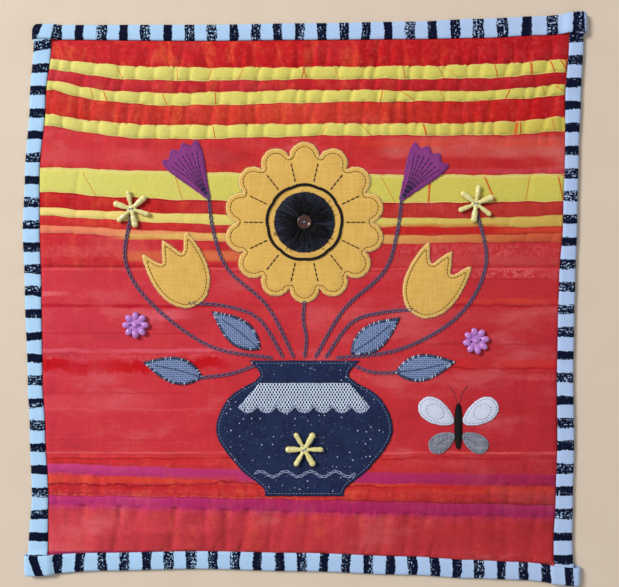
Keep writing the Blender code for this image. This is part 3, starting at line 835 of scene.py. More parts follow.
def make_mesh(name: str, points: Array, faces: List[Sequence[int]], maps: Dict[str, Array],
              kinds: Optional[Sequence[int]] = None, doubles: bool = False) -> Thing:
    """Make a smooth mesh piece whose faces point outward.

    Args:
        name: The piece's name.
        points: Points in millimetres, one row each.
        faces: Corner numbers of each face.
        maps: UV maps by name, with the place of each point.
        kinds: The material number of each face.
        doubles: Whether some points lie in one place and are merged.

    Returns:
        The piece.
    """
    mesh = bpy.data.meshes.new(name)
    mesh.from_pydata((points * MM).tolist(), [], faces)
    corners = np.empty(len(mesh.loops), dtype=np.int32)
    mesh.loops.foreach_get("vertex_index", corners)
    for map_name, places in maps.items():
        layer = mesh.uv_layers.new(name=map_name)
        layer.data.foreach_set("uv", places[corners].astype(np.float32).ravel())
    if kinds is not None:
        mesh.polygons.foreach_set("material_index", np.asarray(kinds, dtype=np.int32))
    mesh.polygons.foreach_set("use_smooth", np.ones(len(mesh.polygons), dtype=bool))
    mesh.update()
    piece = add_object(name, mesh)
    shape = bmesh.new()
    shape.from_mesh(mesh)
    if doubles:
        bmesh.ops.remove_doubles(shape, verts=shape.verts, dist=0.005 * MM)
    bmesh.ops.recalc_face_normals(shape, faces=shape.faces)
    shape.to_mesh(mesh)
    shape.free()
    return piece


def place_piece(piece: Thing, slot: str, *nodes: str) -> None:
    """Let a piece ride on the quilt and stand for its nodes.

    Args:
        piece: The piece.
        slot: Not used.
        nodes: The nodes that it stands for.
    """
    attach(piece, "root")
    if nodes:
        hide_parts(*nodes)
    LOG.info("%s: %d faces", piece.name, len(piece.data.polygons))


def cells(tall: int, wide: int, ring: bool = False, tube: bool = False) -> Array:
    """Return the corners of the faces between rows of points, that may close into a ring or a tube."""
    number = (np.arange(tall + ring) % tall * wide)[:, None] + np.arange(wide + tube) % wide
    return np.stack([number[:-1, :-1], number[:-1, 1:], number[1:, 1:], number[1:, :-1]], axis=-1)


def unit(rows: Array) -> Array:
    """Return vectors at a length of 1, one in each row."""
    return rows / np.maximum(np.linalg.norm(rows, axis=-1, keepdims=True), 1e-9)


def eased(share: Any) -> Any:
    """Return a share from 0 to 1 with soft ends."""
    return share * share * (3 - 2 * share)


# Outline of the quilt, with the same edges as its frame


@dataclass(frozen=True)
class Edge:
    """One edge of the quilt: where its binding runs, and how wide the strip is."""

    rows: Tuple[Tuple[float, float, float], ...]
    inward: float

    def at(self, along: Array) -> Tuple[Array, Array]:
        """Return the outer place and the strip's width.

        Args:
            along: Places along the edge.

        Returns:
            The two, easing from row to row.
        """
        table = np.array(self.rows)
        along = np.clip(along, table[0, 0], table[-1, 0])
        index = np.clip(np.searchsorted(table[:, 0], along, side="right") - 1, 0, len(table) - 2)
        low, high = table[index], table[index + 1]
        share = eased((along - low[..., 0]) / (high[..., 0] - low[..., 0]))
        row = low + share[..., None] * (high - low)
        return row[..., 1], row[..., 2]

    def line(self, along: Array, inset: Any, widths: Any = 0.0) -> Array:
        """Return a line beside the edge, inset by millimetres and by shares of the width."""
        outer, width = self.at(along)
        return outer + self.inward * (inset + widths * width)


EDGES = {
    "left": Edge((
        (-207.9, -209.8, 14.8), (-190.7, -210.3, 15.2), (-149.2, -207.8, 12.8), (-99.7, -209.3, 12.0),
        (-61.7, -210.9, 11.5), (6.6, -213.1, 12.9), (52.2, -214.7, 13.2), (92.5, -213.1, 11.4),
        (151.0, -209.3, 12.3), (196.0, -206.3, 13.8), (207.3, -204.9, 13.0)), 1.0),
    "right": Edge((
        (-215.0, 205.2, 15.6), (-183.4, 204.1, 14.5), (-153.0, 204.6, 13.5), (-107.4, 205.6, 13.2),
        (-61.8, 204.9, 12.8), (-16.2, 205.6, 12.8), (14.2, 206.4, 12.6), (59.8, 207.9, 11.1),
        (113.0, 209.0, 10.8), (151.0, 210.6, 12.2), (196.6, 212.6, 11.3), (215.3, 212.8, 11.3)), -1.0),
    "bottom": Edge((
        (-212.8, -210.9, 15.9), (-155.4, -207.3, 14.1), (-79.4, -205.9, 13.9), (-3.4, -207.7, 14.4),
        (80.2, -210.4, 14.4), (125.8, -213.0, 14.4), (160.0, -214.1, 14.0), (209.4, -218.3, 14.3)), 1.0),
    "top": Edge((
        (-206.8, 208.6, 11.6), (-71.8, 208.8, 12.7), (-3.4, 209.9, 13.1), (80.2, 211.1, 13.7),
        (133.4, 213.3, 15.0), (179.0, 215.3, 14.9), (214.7, 218.3, 15.8)), -1.0),
}
END_X = {"top": (-206.8, 214.7), "bottom": (-212.8, 209.4)}
# The sandwich's edge lies in the binding's fold, lifted and pressed thin, and spreads beyond its mouth
EDGE_INSET = 1.9
TUCK_LIFT = 1.3
EDGE_THICKNESS = 1.6
SPREAD = 4.0
# How often a grid's places across and up are worked out from each other
SETTLING = 6


# Relief of the quilted top


@dataclass(frozen=True)
class Gather:
    """How the sewing draws one stripe into puffs.

    The creases are about spacing apart, and lean across by lean for each millimetre up. They fade within
    upper millimetres of the stripe's upper seam and lower millimetres of its lower one. The seams swell
    outward between them by bulge, and width is how broad and soft the creases are.
    """

    spacing: float
    depth: float
    lean: float = 0.1
    upper: float = 99.0
    lower: float = 99.0
    bulge: float = 0.0
    width: float = 1.0


@dataclass
class Creases:
    """The creases across one stripe. Each groove is gentle on its left side and steep on its right."""

    gather: Gather
    seed: int
    groove: float = 1.2
    steep: float = 2.4
    gentle: float = 4.6
    x: Array = field(init=False)
    depth: Array = field(init=False)
    lean: Array = field(init=False)
    reach: Array = field(init=False)

    def __post_init__(self) -> None:
        """Lay the creases out unevenly, the same each time."""
        rng = np.random.default_rng(self.seed)
        count = int(620 / self.gather.spacing)
        self.x = -225 + np.cumsum(self.gather.spacing * rng.uniform(0.5, 1.5, count))
        self.depth = self.gather.depth * rng.uniform(0.35, 1.45, count)
        self.lean = self.gather.lean + rng.uniform(-0.16, 0.16, count)
        self.reach = rng.uniform(0.5, 1.3, count)

    def neighbours(self, x: Array) -> Tuple[Array, Array, Array, Array]:
        """Return the creases before and after each place, and the distances to them."""
        after = np.clip(np.searchsorted(self.x, x), 1, len(self.x) - 1)
        return after - 1, after, x - self.x[after - 1], self.x[after] - x

    def swelling(self, x: Array) -> Array:
        """Return how far the seams swell: 0 at a crease and 1 between two."""
        _, _, left, right = self.neighbours(x)
        return np.clip(np.sin(np.pi * np.clip(left / (left + right), 0.0, 1.0)), 0.0, 1.0) ** 0.6

    def relief(self, x: Array, below: Array, above: Array) -> Tuple[Array, Array]:
        """Return the height of the puffs and the depth of the creases.

        Args:
            x: Places across.
            below: Distances below the upper seam.
            above: Distances above the lower seam.

        Returns:
            The two, in millimetres.
        """
        shifted = x - np.interp(x, self.x, self.lean) * (above - below) / 2
        before, after, left, right = self.neighbours(shifted)
        dips, sunk = [], np.zeros_like(x)
        ends = ((below, self.gather.upper), (above, self.gather.lower))
        for index, away in ((before, left), (after, right)):
            fades = [np.exp(-((place / (reach * self.reach[index])) ** 2)) for place, reach in ends]
            dips.append(self.depth[index] * np.maximum(*fades))
            sunk = sunk + dips[-1] * np.exp(-((away / (self.groove * self.gather.width)) ** 2))
        steep = 1 - np.exp(-((left / (self.steep * self.gather.width)) ** 2))
        gentle = 1 - np.exp(-((right / (self.gentle * self.gather.width)) ** 2))
        return 0.5 * (dips[0] + dips[1]) * steep * gentle, sunk / math.sqrt(self.gather.width)


@dataclass
class Relief:
    """The height of the quilted top over the surface it lies on.

    Each seam has its heights at five places from left to right, and how deep it is sewn. Ground is the
    applique's middle and half sizes, where the puffs and ditches keep only a quiet share of their height.
    """

    flat: float = 3.4
    seam_reach: float = 180.0
    ground: Tuple[float, float, float, float] = (0.0, -16.0, 158.0, 142.0)
    seams: Tuple[Tuple[Tuple[float, ...], float], ...] = (
        ((181.0, 175.8, 176.0, 177.0, 180.5), 1.0), ((173.0, 166.2, 167.3, 167.6, 171.2), 1.0),
        ((163.2, 156.4, 158.4, 157.8, 161.5), 1.0), ((156.0, 147.3, 149.3, 150.4, 153.8), 1.0),
        ((137.8, 131.6, 132.6, 132.8, 136.4), 1.0), ((129.4, 121.7, 123.9, 124.5, 126.4), 1.0),
        ((98.6, 95.6, 94.0, 93.2, 93.8), 0.7), ((79.6, 75.0, 73.2, 72.8, 73.8), 0.7),
        ((67.8, 64.2, 62.4, 60.8, 62.6), 0.6), ((62.4, 57.2, 55.2, 54.6, 54.8), 0.6),
        ((54.9, 50.5, 48.4, 48.0, 48.8), 0.5), ((49.6, 44.6, 41.4, 42.0, 43.0), 0.5),
        ((23.4, 21.6, 20.8, 22.4, 24.5), 0.6), ((-5.5, -5.8, -6.0, -5.8, -5.5), 0.5),
        ((-51.1, -51.1, -51.1, -51.5, -52.0), 0.1), ((-118.8, -119.2, -119.5, -120.0, -120.5), 0.5),
        ((-125.6, -128.5, -130.9, -132.3, -133.2), 0.3), ((-132.5, -136.6, -139.3, -140.8, -141.6), 0.3),
        ((-149.9, -151.2, -153.0, -155.0, -156.8), 1.0), ((-156.8, -159.6, -162.1, -164.3, -165.9), 0.3),
    )
    gathers: Tuple[Gather, ...] = (
        Gather(15, 1.5, 0, 16, 16), Gather(14, 1.2, 0.15, bulge=0.5), Gather(16, 1.2, 0.2),
        Gather(15, 1.2, 0.15, bulge=0.5), Gather(14, 1.35, 0.1, 12, 12), Gather(12, 1.35, 0.1, bulge=0.5),
        Gather(18, 0.8, 0.1, 9, 6), Gather(42, 0.45, 0.1, bulge=0.5), Gather(26, 0.45),
        Gather(26, 0.6, bulge=0.4), Gather(26, 0.45), Gather(22, 0.45, bulge=0.2),
        Gather(30, 0.4, 0.05, 12, 6), Gather(44, 0.3, 0, 14, 10), Gather(40, 0.3, 0, 12, 12),
        Gather(27, 0.9, 0.05, 45, 45, width=2.8),
        Gather(24, 0.4), Gather(18, 0.4), Gather(19, 0.5), Gather(8, 0.45, 0, bulge=0.1),
        Gather(17, 2.2, 0.06, 14, 32, width=2.0),
    )
    foot: Gather = Gather(25, 3.4, 0.5, 0.1, 17)
    clear_of_seam: float = 1.0
    quiet: float = 0.35
    crown: float = 0.5
    crown_power: float = 2.6
    crown_drop: float = 0.2
    ditch_width: float = 0.8
    bridge: float = 0.42
    curves: List[Array] = field(init=False)
    creases: List[Creases] = field(init=False)
    tucks: Creases = field(init=False)

    def __post_init__(self) -> None:
        """Fit the seams' curves and lay out the creases."""
        places = np.linspace(-1.0, 1.0, 5)
        self.curves = [np.polyfit(places, heights, 4) for heights, _ in self.seams]
        self.creases = [Creases(gather, 40 + index) for index, gather in enumerate(self.gathers)]
        self.tucks = Creases(self.foot, 71)

    def seam_line(self, index: int, x: Array) -> Array:
        """Return a seam's height at x, with the wander of hand piecing and the puffs beside it.

        Args:
            index: The seam's number.
            x: Places across.

        Returns:
            The heights.
        """
        line = np.polyval(self.curves[index], np.clip(x / self.seam_reach, -1.06, 1.06))
        line = line + 0.3 * np.sin(x * 0.11 + 1.3 * index) + 0.2 * np.sin(x * 0.29 + 2.1 * index)
        line = line - self.gathers[index].bulge * self.creases[index].swelling(x)
        return line + 0.5 * self.gathers[index + 1].bulge * self.creases[index + 1].swelling(x)

    def lines(self, x: Array) -> List[Array]:
        """Return the heights of all the stripes' borders at x, from the top edge down."""
        top, bottom = (EDGES[name].line(x, EDGE_INSET) for name in ("top", "bottom"))
        return [top] + [self.seam_line(index, x) for index in range(len(self.seams))] + [bottom]

    def stripe(self, x: Array, y: Array) -> Array:
        """Return the stripe's number at each point, with the share of the way down it.

        Args:
            x: Places across.
            y: Places up.

        Returns:
            The numbers.
        """
        lines = self.lines(x)
        value = np.zeros_like(x)
        for index, (upper, lower) in enumerate(zip(lines, lines[1:])):
            share = (upper - y) / (upper - lower)
            value = np.where(share >= 0, index + np.clip(share, 0.0, 1.0), value)
        return value

    def off_ground(self, x: Array, y: Array) -> Array:
        """Return a low value on the applique's ground, rising to 1 outside it.

        Args:
            x: Places across.
            y: Places up.

        Returns:
            The values.
        """
        middle_x, middle_y, half_width, half_height = self.ground
        out = np.abs((x - middle_x) / half_width) ** 4 + np.abs((y - middle_y) / half_height) ** 4
        return self.loud(eased(np.clip((out**0.25 - 0.86) / 0.22, 0.0, 1.0)))

    def loud(self, share: Array) -> Array:
        """Return the quiet share at 0 and 1 at 1."""
        return self.quiet + (1 - self.quiet) * share

    @staticmethod
    def swell(x: Array, y: Array) -> Array:
        """Return the slow waves of a sheet that lies not quite flat."""
        waves = 0.22 * np.sin(x * 0.031 + 0.8 * np.sin(y * 0.021)) * np.sin(y * 0.027 + 1.1)
        return waves + 0.12 * np.sin(x * 0.083 + y * 0.05 + 0.4)

    def measure(self, x: Array, y: Array) -> Tuple[Array, Array, Array]:
        """Measure the quilted top.

        Args:
            x: Places across.
            y: Places up.

        Returns:
            Its height, the distance to the nearest seam, and how deep its creases are.
        """
        lines = self.lines(x)
        free = self.off_ground(x, y)
        height = self.flat + self.swell(x, y)
        near, sunk = np.full_like(x, 99.0), np.zeros_like(x)
        for index, creases in enumerate(self.creases):
            below, above = lines[index] - y, y - lines[index + 1]
            near = np.minimum(near, np.minimum(np.abs(below), np.abs(above)))
            within = (below >= 0) & (above >= 0)
            if not within.any():
                continue
            here, below, above = x[within], below[within], above[within]
            puffs, dips = creases.relief(here, below, above)
            crown = 1 - np.abs(1 - 2 * below / (below + above)) ** self.crown_power
            if creases is self.creases[-1]:
                dips = dips + self.tucks.relief(here, below + self.clear_of_seam, above)[1]
            height[within] += (self.crown * crown - self.crown_drop + puffs - 0.5 * dips) * free[within]
            # The crease depth also sets how dark the painted shade in the creases is
            sunk[within] = dips * free[within]
        for (_, depth), line in zip(self.seams, lines[1:]):
            height = height - depth * self.loud(free) * np.exp(-(((y - line) / self.ditch_width) ** 2))
        return height, near, sunk

    def top(self, x: Array, y: Array) -> Array:
        """Return the height of the quilted top."""
        return self.measure(x, y)[0]

    def ground_top(self, x: Array, y: Array) -> Array:
        """Return the height on which applique lies, which bridges the seams."""
        return self.flat + self.swell(x, y) + self.bridge


RELIEF = Relief()


@dataclass
class Sandwich:
    """The pieced top, wadding and backing, as one quilted slab."""

    column_pitch: float = 1.1
    row_pitch: float = 2.3
    crowding: float = 0.6
    size: Tuple[float, float] = (0.42, 0.432)
    beside: Tuple[float, ...] = (-1.0, 0.3, 0.8, 1.6, 2.6, SPREAD)
    margins: Tuple[float, float] = (17.4, 19.2)
    backing_rim: int = 6

    def rows_down(self) -> Array:
        """Lay out the lines across that lie between those beside the edges.

        Returns:
            For each, its stripe's number with the share of the way down the stripe.
        """
        middle = []
        heights = [float(line[0]) for line in RELIEF.lines(np.array([0.0]))]
        for index, (upper, lower) in enumerate(zip(heights, heights[1:])):
            start = upper - self.margins[0] if index == 0 else upper
            end = lower + self.margins[1] if index == len(heights) - 2 else lower
            count = max(6, round((start - end) / self.row_pitch))
            first, last = ((upper - place) / (upper - lower) for place in (start, end))
            for step in range(count):
                share = self.crowding * (1 - math.cos(math.pi * step / count)) / 2
                share += (1 - self.crowding) * step / count
                middle.append(index + first + (last - first) * share)
        return np.array(middle + [len(heights) - 2 + last])

    def beside_edges(self, places: Array, along: Array, low: str, high: str) -> None:
        """Put the outermost rows of places beside two edges: tucked in, then from the binding's mouth on.

        Args:
            places: The places, changed in their first and last rows.
            along: The places along the edges.
            low: The edge that the first rows lie beside.
            high: The edge that the last rows lie beside.
        """
        for name, order in ((low, 1), (high, -1)):
            rows, run = places[::order], along[::order]
            rows[0] = EDGES[name].line(run[0], EDGE_INSET)
            for index, inset in enumerate(self.beside, 1):
                rows[index] = EDGES[name].line(run[index], inset, 1.0)

    def grid(self) -> Tuple[Array, Array]:
        """Lay out the points.

        Returns:
            The x and y of every point, in rows from the top down.
        """
        stripes, count = self.rows_down(), int(400 / self.column_pitch)
        index = stripes.astype(int)
        row, rim = np.arange(len(stripes)), len(self.beside) + 1
        shares = np.arange(1, count + 1) / (count + 1)
        x = np.zeros((len(stripes) + 2 * rim, count + 2 * rim))
        y = np.zeros_like(x)
        inner = slice(rim, -rim)
        for _ in range(SETTLING):
            self.beside_edges(y, x, "top", "bottom")
            lines = np.array(RELIEF.lines(x[inner]))
            upper, lower = lines[index, row], lines[index + 1, row]
            y[inner] = upper + (stripes - index)[:, None] * (lower - upper)
            self.beside_edges(x.T, y.T, "left", "right")
            left, right = (EDGES[name].line(y[:, inner], SPREAD, 1.0) for name in ("left", "right"))
            x[:, inner] = left + shares * (right - left)
        apart = 0.05 * np.arange(len(y))[:, None]
        return x, np.minimum.accumulate(y + apart, axis=0) - apart

    @staticmethod
    def tuck(x: Array, y: Array, low: str, high: str) -> Array:
        """Return how far each point is tucked into two strips.

        Args:
            x: The place from one strip to the other.
            y: The place along the strips.
            low: The edge with the first strip.
            high: The edge with the second.

        Returns:
            The share, 0 to 1.
        """
        from_mouth = np.minimum(x - EDGES[low].line(y, 0.0, 1.0), EDGES[high].line(y, 0.0, 1.0) - x)
        share = np.clip((from_mouth - 0.3) / (SPREAD - 0.3), 0.0, 1.0)
        return 1 - np.sqrt(share * (2 - share))

    def build(self) -> None:
        """Make the slab, with the backing as its second material."""
        x, y = self.grid()
        sides, ends = self.tuck(x, y, "left", "right"), self.tuck(y, x, "bottom", "top")
        floor = TUCK_LIFT * (sides + ends)
        full, near, sunk = RELIEF.measure(x, y)
        height = floor + EDGE_THICKNESS + (full - EDGE_THICKNESS) * (1 - sides) * (1 - ends)
        points = np.concatenate([np.stack([x, y, z], axis=-1).reshape(-1, 3) for z in (height, floor)])
        cloth = np.stack([x * MM, RELIEF.stripe(x, y)], axis=-1).reshape(-1, 2)
        # The seam distances and crease depths go to the Creases map, from which shade is painted into the
        # colour
        marks = np.stack([near * MM, sunk], axis=-1).reshape(-1, 2)
        maps = {"Cloth": np.concatenate([cloth, cloth, [[0.0, 0.0]]]),
                "Creases": np.concatenate([marks, marks, [[1.0, 0.0]]])}
        faces, face_count = self.faces(*x.shape)
        kinds = [0] * face_count + [1] * (len(faces) - face_count)
        points = np.concatenate([points, np.zeros((1, 3))])
        piece = make_mesh("quilted_sandwich", points, faces, maps, kinds)
        dress(piece, Cloth.STRIPED, Cloth.BACKING)
        place_piece(piece, "striped_cotton", "quilt_body")

    def faces(self, tall: int, wide: int) -> Tuple[List[Sequence[int]], int]:
        """Return the faces of the top, then of the backing's rim, its flat middle and the sides.

        Args:
            tall: How many rows of points there are.
            wide: How many points there are in a row.

        Returns:
            The faces, and how many of them are the top's.
        """
        rim, count = self.backing_rim, tall * wide
        top = cells(tall, wide)
        is_rim = np.ones(top.shape[:2], dtype=bool)
        is_rim[rim:-rim, rim:-rim] = False
        inner, outer = self.loop(tall, wide, rim), self.loop(tall, wide, 0)
        faces = top.reshape(-1, 4).tolist() + (top[is_rim] + count).tolist()
        faces += [(a + count, 2 * count, b + count) for a, b in zip(inner, inner[1:] + inner[:1])]
        faces += [(a, b, b + count, a + count) for a, b in zip(outer, outer[1:] + outer[:1])]
        return faces, is_rim.size

    @staticmethod
    def loop(tall: int, wide: int, inset: int) -> List[int]:
        """Return the points of the rectangle of lines that lies so many lines in.

        Args:
            tall: How many rows of points there are.
            wide: How many points there are in a row.
            inset: How many lines in it lies.

        Returns:
            The points' numbers.
        """
        numbers = np.arange(tall * wide).reshape(tall, wide)[inset:tall - inset, inset:wide - inset]
        sides = (numbers[0, :-1], numbers[:-1, -1], numbers[-1, :0:-1], numbers[:0:-1, 0])
        return np.concatenate(sides).tolist()


# Binding


@dataclass
class Binding:
    """Four folded strips round the sandwich's edge.

    Bars give the place of one bar of the print on each strip, their pitch and a number for the strip. Corner
    bars give a bar that bends: its place, how far it reaches and how sharply. Corners give the radii of the
    end strips' corners. Mouths give each station beside an end strip's mouth: its inset, the share of the
    strip's width, and how far it is lifted. Strain is how far the top strip's print is stretched, from what
    place on and over what length.
    """

    height: float = 4.2
    leaf: float = 1.0
    wall: float = 1.6
    station_pitch: float = 1.8
    end_wall: float = 1.2
    flat: Tuple[float, float] = (0.031, 0.43)
    bars: Dict[str, Tuple[float, float, int]] = field(default_factory=lambda: {
        "top": (-204.4, 16.75, 1), "bottom": (-52.6, 16.85, 2), "left": (192.0, 16.95, 3),
        "right": (43.5, 17.25, 4)})
    corner_bars: Dict[str, Tuple[float, float, float]] = field(default_factory=lambda: {
        "top": (-203.6, 4.6, 2.0), "bottom": (-203.4, 6.0, 1.5), "left": (192.0, -3.4, 2.0)})
    corners: Dict[str, Tuple[float, float]] = field(default_factory=lambda: {
        "top": (4.8, 2.2), "bottom": (2.8, 2.5)})
    mouths: Tuple[Tuple[float, float, float], ...] = (
        (EDGE_INSET, 0.0, 1.0), (0.6, 1.0, 1.0), (1.8, 1.0, 0.7), (3.0, 1.0, 0.2))
    strain: Tuple[float, float, float] = (9.9, 80.0, 127.0)
    bend_reach: float = 14.0

    def section(self) -> Array:
        """Draw the folded section.

        Returns:
            For each corner, its inset, share of the width, height, and whether it is in the pocket.
        """
        tall = self.height
        corners = [(0.0, 1.0, 0.0, 0), (-3.0, 1.0, 0.0, 0), (3.4, 0.0, 0.0, 0), (1.7, 0.0, 0.05, 0)]
        for step in range(1, 8):
            angle = math.pi * step / 8
            corners.append((1.7 * (1 - math.sin(angle)), 0.0, tall * 0.47 * (1 - math.cos(angle)), 0))
        corners += [(1.9, 0.0, tall * 0.955, 0), (3.4, 0.0, tall * 0.99, 0)]
        for step in range(6):
            share = 0.36 + 0.1 * step
            corners.append((0.0, share, tall * (1.0 + 0.03 * math.sin(math.pi * (share - 0.2))), 0))
        corners += [(-0.9, 1.0, tall * 0.97, 0), (-0.35, 1.0, tall * 0.90, 0), (0.0, 1.0, tall * 0.8, 0)]
        corners += [(-0.2, 1.0, tall - self.leaf, 0), (self.wall, 0.0, tall - self.leaf, 1)]
        corners += [(self.wall, 0.0, self.leaf, 1), (0.0, 1.0, self.leaf, 0), (0.05, 1.0, 0.4, 0)]
        return np.array(corners)

    @staticmethod
    def unevenness(along: Array, share: Array, seed: float) -> Array:
        """Return small rises and dips where the strip is sewn down."""
        waves = np.sin(along * 0.31 + seed) * 0.5 + np.sin(along * 0.83 + 2.3 * seed) * 0.35
        return 0.13 * (waves + 0.4 * np.sin(along * 1.9 + seed)) * share

    def build_side(self, name: str) -> None:
        """Make a side strip, with its ends lifted into the end strips' pockets.

        Args:
            name: The strip's edge.
        """
        section = self.section()
        edge, rim = EDGES[name], len(self.mouths)
        along = np.linspace(0.0, 1.0, int(400 / self.station_pitch))
        shares = np.concatenate([np.zeros(rim), along, np.ones(rim)])[:, None]
        lift = np.zeros_like(shares)
        x = np.zeros((len(shares), len(section)))
        for _ in range(SETTLING):
            low, high = EDGES["bottom"].line(x, SPREAD, 1.0), EDGES["top"].line(x, SPREAD, 1.0)
            y = low + shares * (high - low)
            for index, (inset, widths, rise) in enumerate(self.mouths):
                for end, row in (("bottom", index), ("top", -1 - index)):
                    y[row] = EDGES[end].line(x[row], inset, widths)
                    lift[row] = TUCK_LIFT * rise
            x = edge.line(y, section[:, 0], section[:, 1])
        height = section[:, 2] + lift + self.unevenness(y, section[:, 2] / self.height, 1.0 + len(name))
        self.loft(name, x, y, height, y)

    def build_end(self, name: str) -> None:
        """Make an end strip, thick over the side strips' ends and folded in at both of its own.

        Args:
            name: The strip's edge.
        """
        section = self.section()
        edge = EDGES[name]
        low, high = END_X[name]
        first = np.array([0.0, 0.35, self.end_wall, 2.2, 3.2])
        middle = np.linspace(low + 4.4, high - 4.4, int((high - low - 8.8) / self.station_pitch))
        along = np.concatenate([low + first, middle, high - first[::-1]])
        x = np.repeat(along[:, None], len(section), axis=1)
        from_end = np.minimum(along - low, high - along)[:, None]
        inset, width = section[:, 0] + np.zeros_like(x), section[:, 1] + np.zeros_like(x)
        pocket = np.ix_(from_end[:, 0] < self.end_wall - 0.01, section[:, 3] > 0)
        inset[pocket], width[pocket] = 0.0, 1.0
        wide = edge.at(x)[1]
        outward = (1 - np.clip((inset + width * wide) / wide, 0.0, 1.0)) ** 2
        for radius, away in zip(self.corners[name], (x - low, high - x)):
            left_over = np.clip(radius - away, 0.0, radius)
            cut = radius - np.sqrt(np.maximum(radius**2 - left_over**2, 0.0))
            inset = inset + cut * outward
        y = edge.line(x, inset, width)
        side = np.minimum(x - EDGES["left"].line(y, 0.0, 1.0), EDGES["right"].line(y, 0.0, 1.0) - x)
        over = eased(1 - np.clip((side - 0.8) / 5.0, 0.0, 1.0))
        tall = section[:, 2]
        share = np.where(tall > self.height / 2, 1.0, tall / self.height)
        share = np.where((tall <= self.leaf) | (section[:, 1] == 1) & (tall < 1.5), 0.0, share)
        height = tall + 2 * TUCK_LIFT * share * over
        height = height + self.unevenness(x, tall / self.height, 3.0 + len(name))
        self.loft(name, x, y, height * (1 - 0.3 * np.clip(1 - from_end / 3.0, 0.0, 1.0) ** 2), x)

    def loft(self, edge: str, x: Array, y: Array, height: Array, along: Array) -> None:
        """Make a strip from its stations, one in each row of places.

        Args:
            edge: The edge it runs along.
            x: The places across.
            y: The places up.
            height: The heights.
            along: What the print follows, along the strip.
        """
        stations, corners = x.shape
        points = np.stack([x, y, np.maximum(height, 0.0)], axis=-1)
        step = np.linalg.norm(np.diff(points, axis=1), axis=2)
        across = np.concatenate([np.zeros((stations, 1)), np.cumsum(step, axis=1)], axis=1)
        first, pitch, number = self.bars[edge]
        bars = (along - self.lean(edge, x, y, along) - first) / pitch + 0.5 + 100 * number
        faces = [range(corners), range((stations - 1) * corners, stations * corners)]
        faces += cells(stations, corners, tube=True).reshape(-1, 4).tolist()
        uv = {"Cloth": np.stack([bars, across * MM], axis=-1).reshape(-1, 2)}
        piece = make_mesh("binding_strip_" + edge, points.reshape(-1, 3), faces, uv, doubles=True)
        dress(piece, Cloth.BINDING)
        place_piece(piece, "binding_cotton", "binding_" + edge)

    def lean(self, edge: str, x: Array, y: Array, along: Array) -> Array:
        """Return how far the print is shifted: its bar nearest a corner bends, and its far end is stretched.

        Args:
            edge: The strip's edge.
            x: The places across.
            y: The places up.
            along: What the print follows, along the strip.

        Returns:
            The shift in millimetres.
        """
        outer, width = EDGES[edge].at(along)
        here = x if edge in ("left", "right") else y
        outward = 1 - np.clip((here - outer) * EDGES[edge].inward / width, 0.0, 1.0)
        shift = np.zeros_like(x)
        if edge in self.corner_bars:
            middle, reach, power = self.corner_bars[edge]
            share = outward if reach > 0 else 1 - outward
            fade = np.clip(1.25 - np.abs(along - middle) / self.bend_reach, 0.0, 1.0)
            shift = abs(reach) * (share**power - 0.25) * fade
        if edge == "top":
            reach, start, length = self.strain
            shift = shift + reach * np.clip((along - start) / length, 0.0, None) ** 2
        return shift

    def build(self) -> None:
        """Make the four strips."""
        for name in ("left", "right"):
            self.build_side(name)
        for name in ("top", "bottom"):
            self.build_end(name)


# Shapes of the applique


def smooth_through(knots: Sequence[Point], steps: int) -> Array:
    """Return a smooth open curve through knots.

    Args:
        knots: The places it runs through.
        steps: How many points each span gets.

    Returns:
        The curve's points.
    """
    curve, last = [], len(knots) - 1
    for index in range(last):
        before, start, end, after = (Vector(knots[min(max(index + way, 0), last)]) for way in (-1, 0, 1, 2))
        for step in range(steps):
            t = step / steps
            point = start * 2 + (end - before) * t
            point += (before * 2 - start * 5 + end * 4 - after) * t**2
            point += (start * 3 - before - end * 3 + after) * t**3
            curve.append((point.x / 2, point.y / 2))
    return np.array(curve + [tuple(knots[-1])])


def mirrored(right_side: Array) -> Array:
    """Return a closed outline from its right side, given from the foot up."""
    back = right_side[::-1]
    return np.concatenate([right_side, back[np.abs(back[:, 0]) > 0.01] * (-1, 1)])


def scalloped_disc(tip: float, notch: float, lobes: int, steps: int) -> Array:
    """Return an outline of round lobes about the origin.

    Args:
        tip: The radius at the middle of a lobe.
        notch: The radius between two.
        lobes: How many there are.
        steps: How many points each gets.

    Returns:
        The outline.
    """
    angle = 2 * np.pi * np.arange(lobes * steps) / (lobes * steps)
    radius = notch + (tip - notch) * np.abs(np.cos(lobes * angle / 2)) ** 0.6
    return np.stack([radius * np.sin(angle), radius * np.cos(angle)], axis=1)


def head_outline(right_side: Sequence[Point], width: float, height: float) -> Array:
    """Return a flower's head from its right side, in shares of half its width and of its height."""
    return mirrored(smooth_through(np.array(right_side) * (width / 2, height), 5))


def leaf_outline(length: float, width: float) -> Array:
    """Return a leaf with a round base and a pointed tip."""
    share = np.arange(25) / 24
    return mirrored(np.stack([width / 2 * np.sin(np.pi * share**0.8), length * (share - 0.5)], axis=1))


def wing_outline(length: float, width: float) -> Array:
    """Return a wing: an egg that is broadest away from the body.

    Args:
        length: Its length.
        width: Its width.

    Returns:
        The outline.
    """
    angle = 2 * np.pi * np.arange(48) / 48
    y = np.cos(angle)
    return np.stack([np.sin(angle) * (0.78 + 0.22 * y) * width / 2, y * length / 2], axis=1)


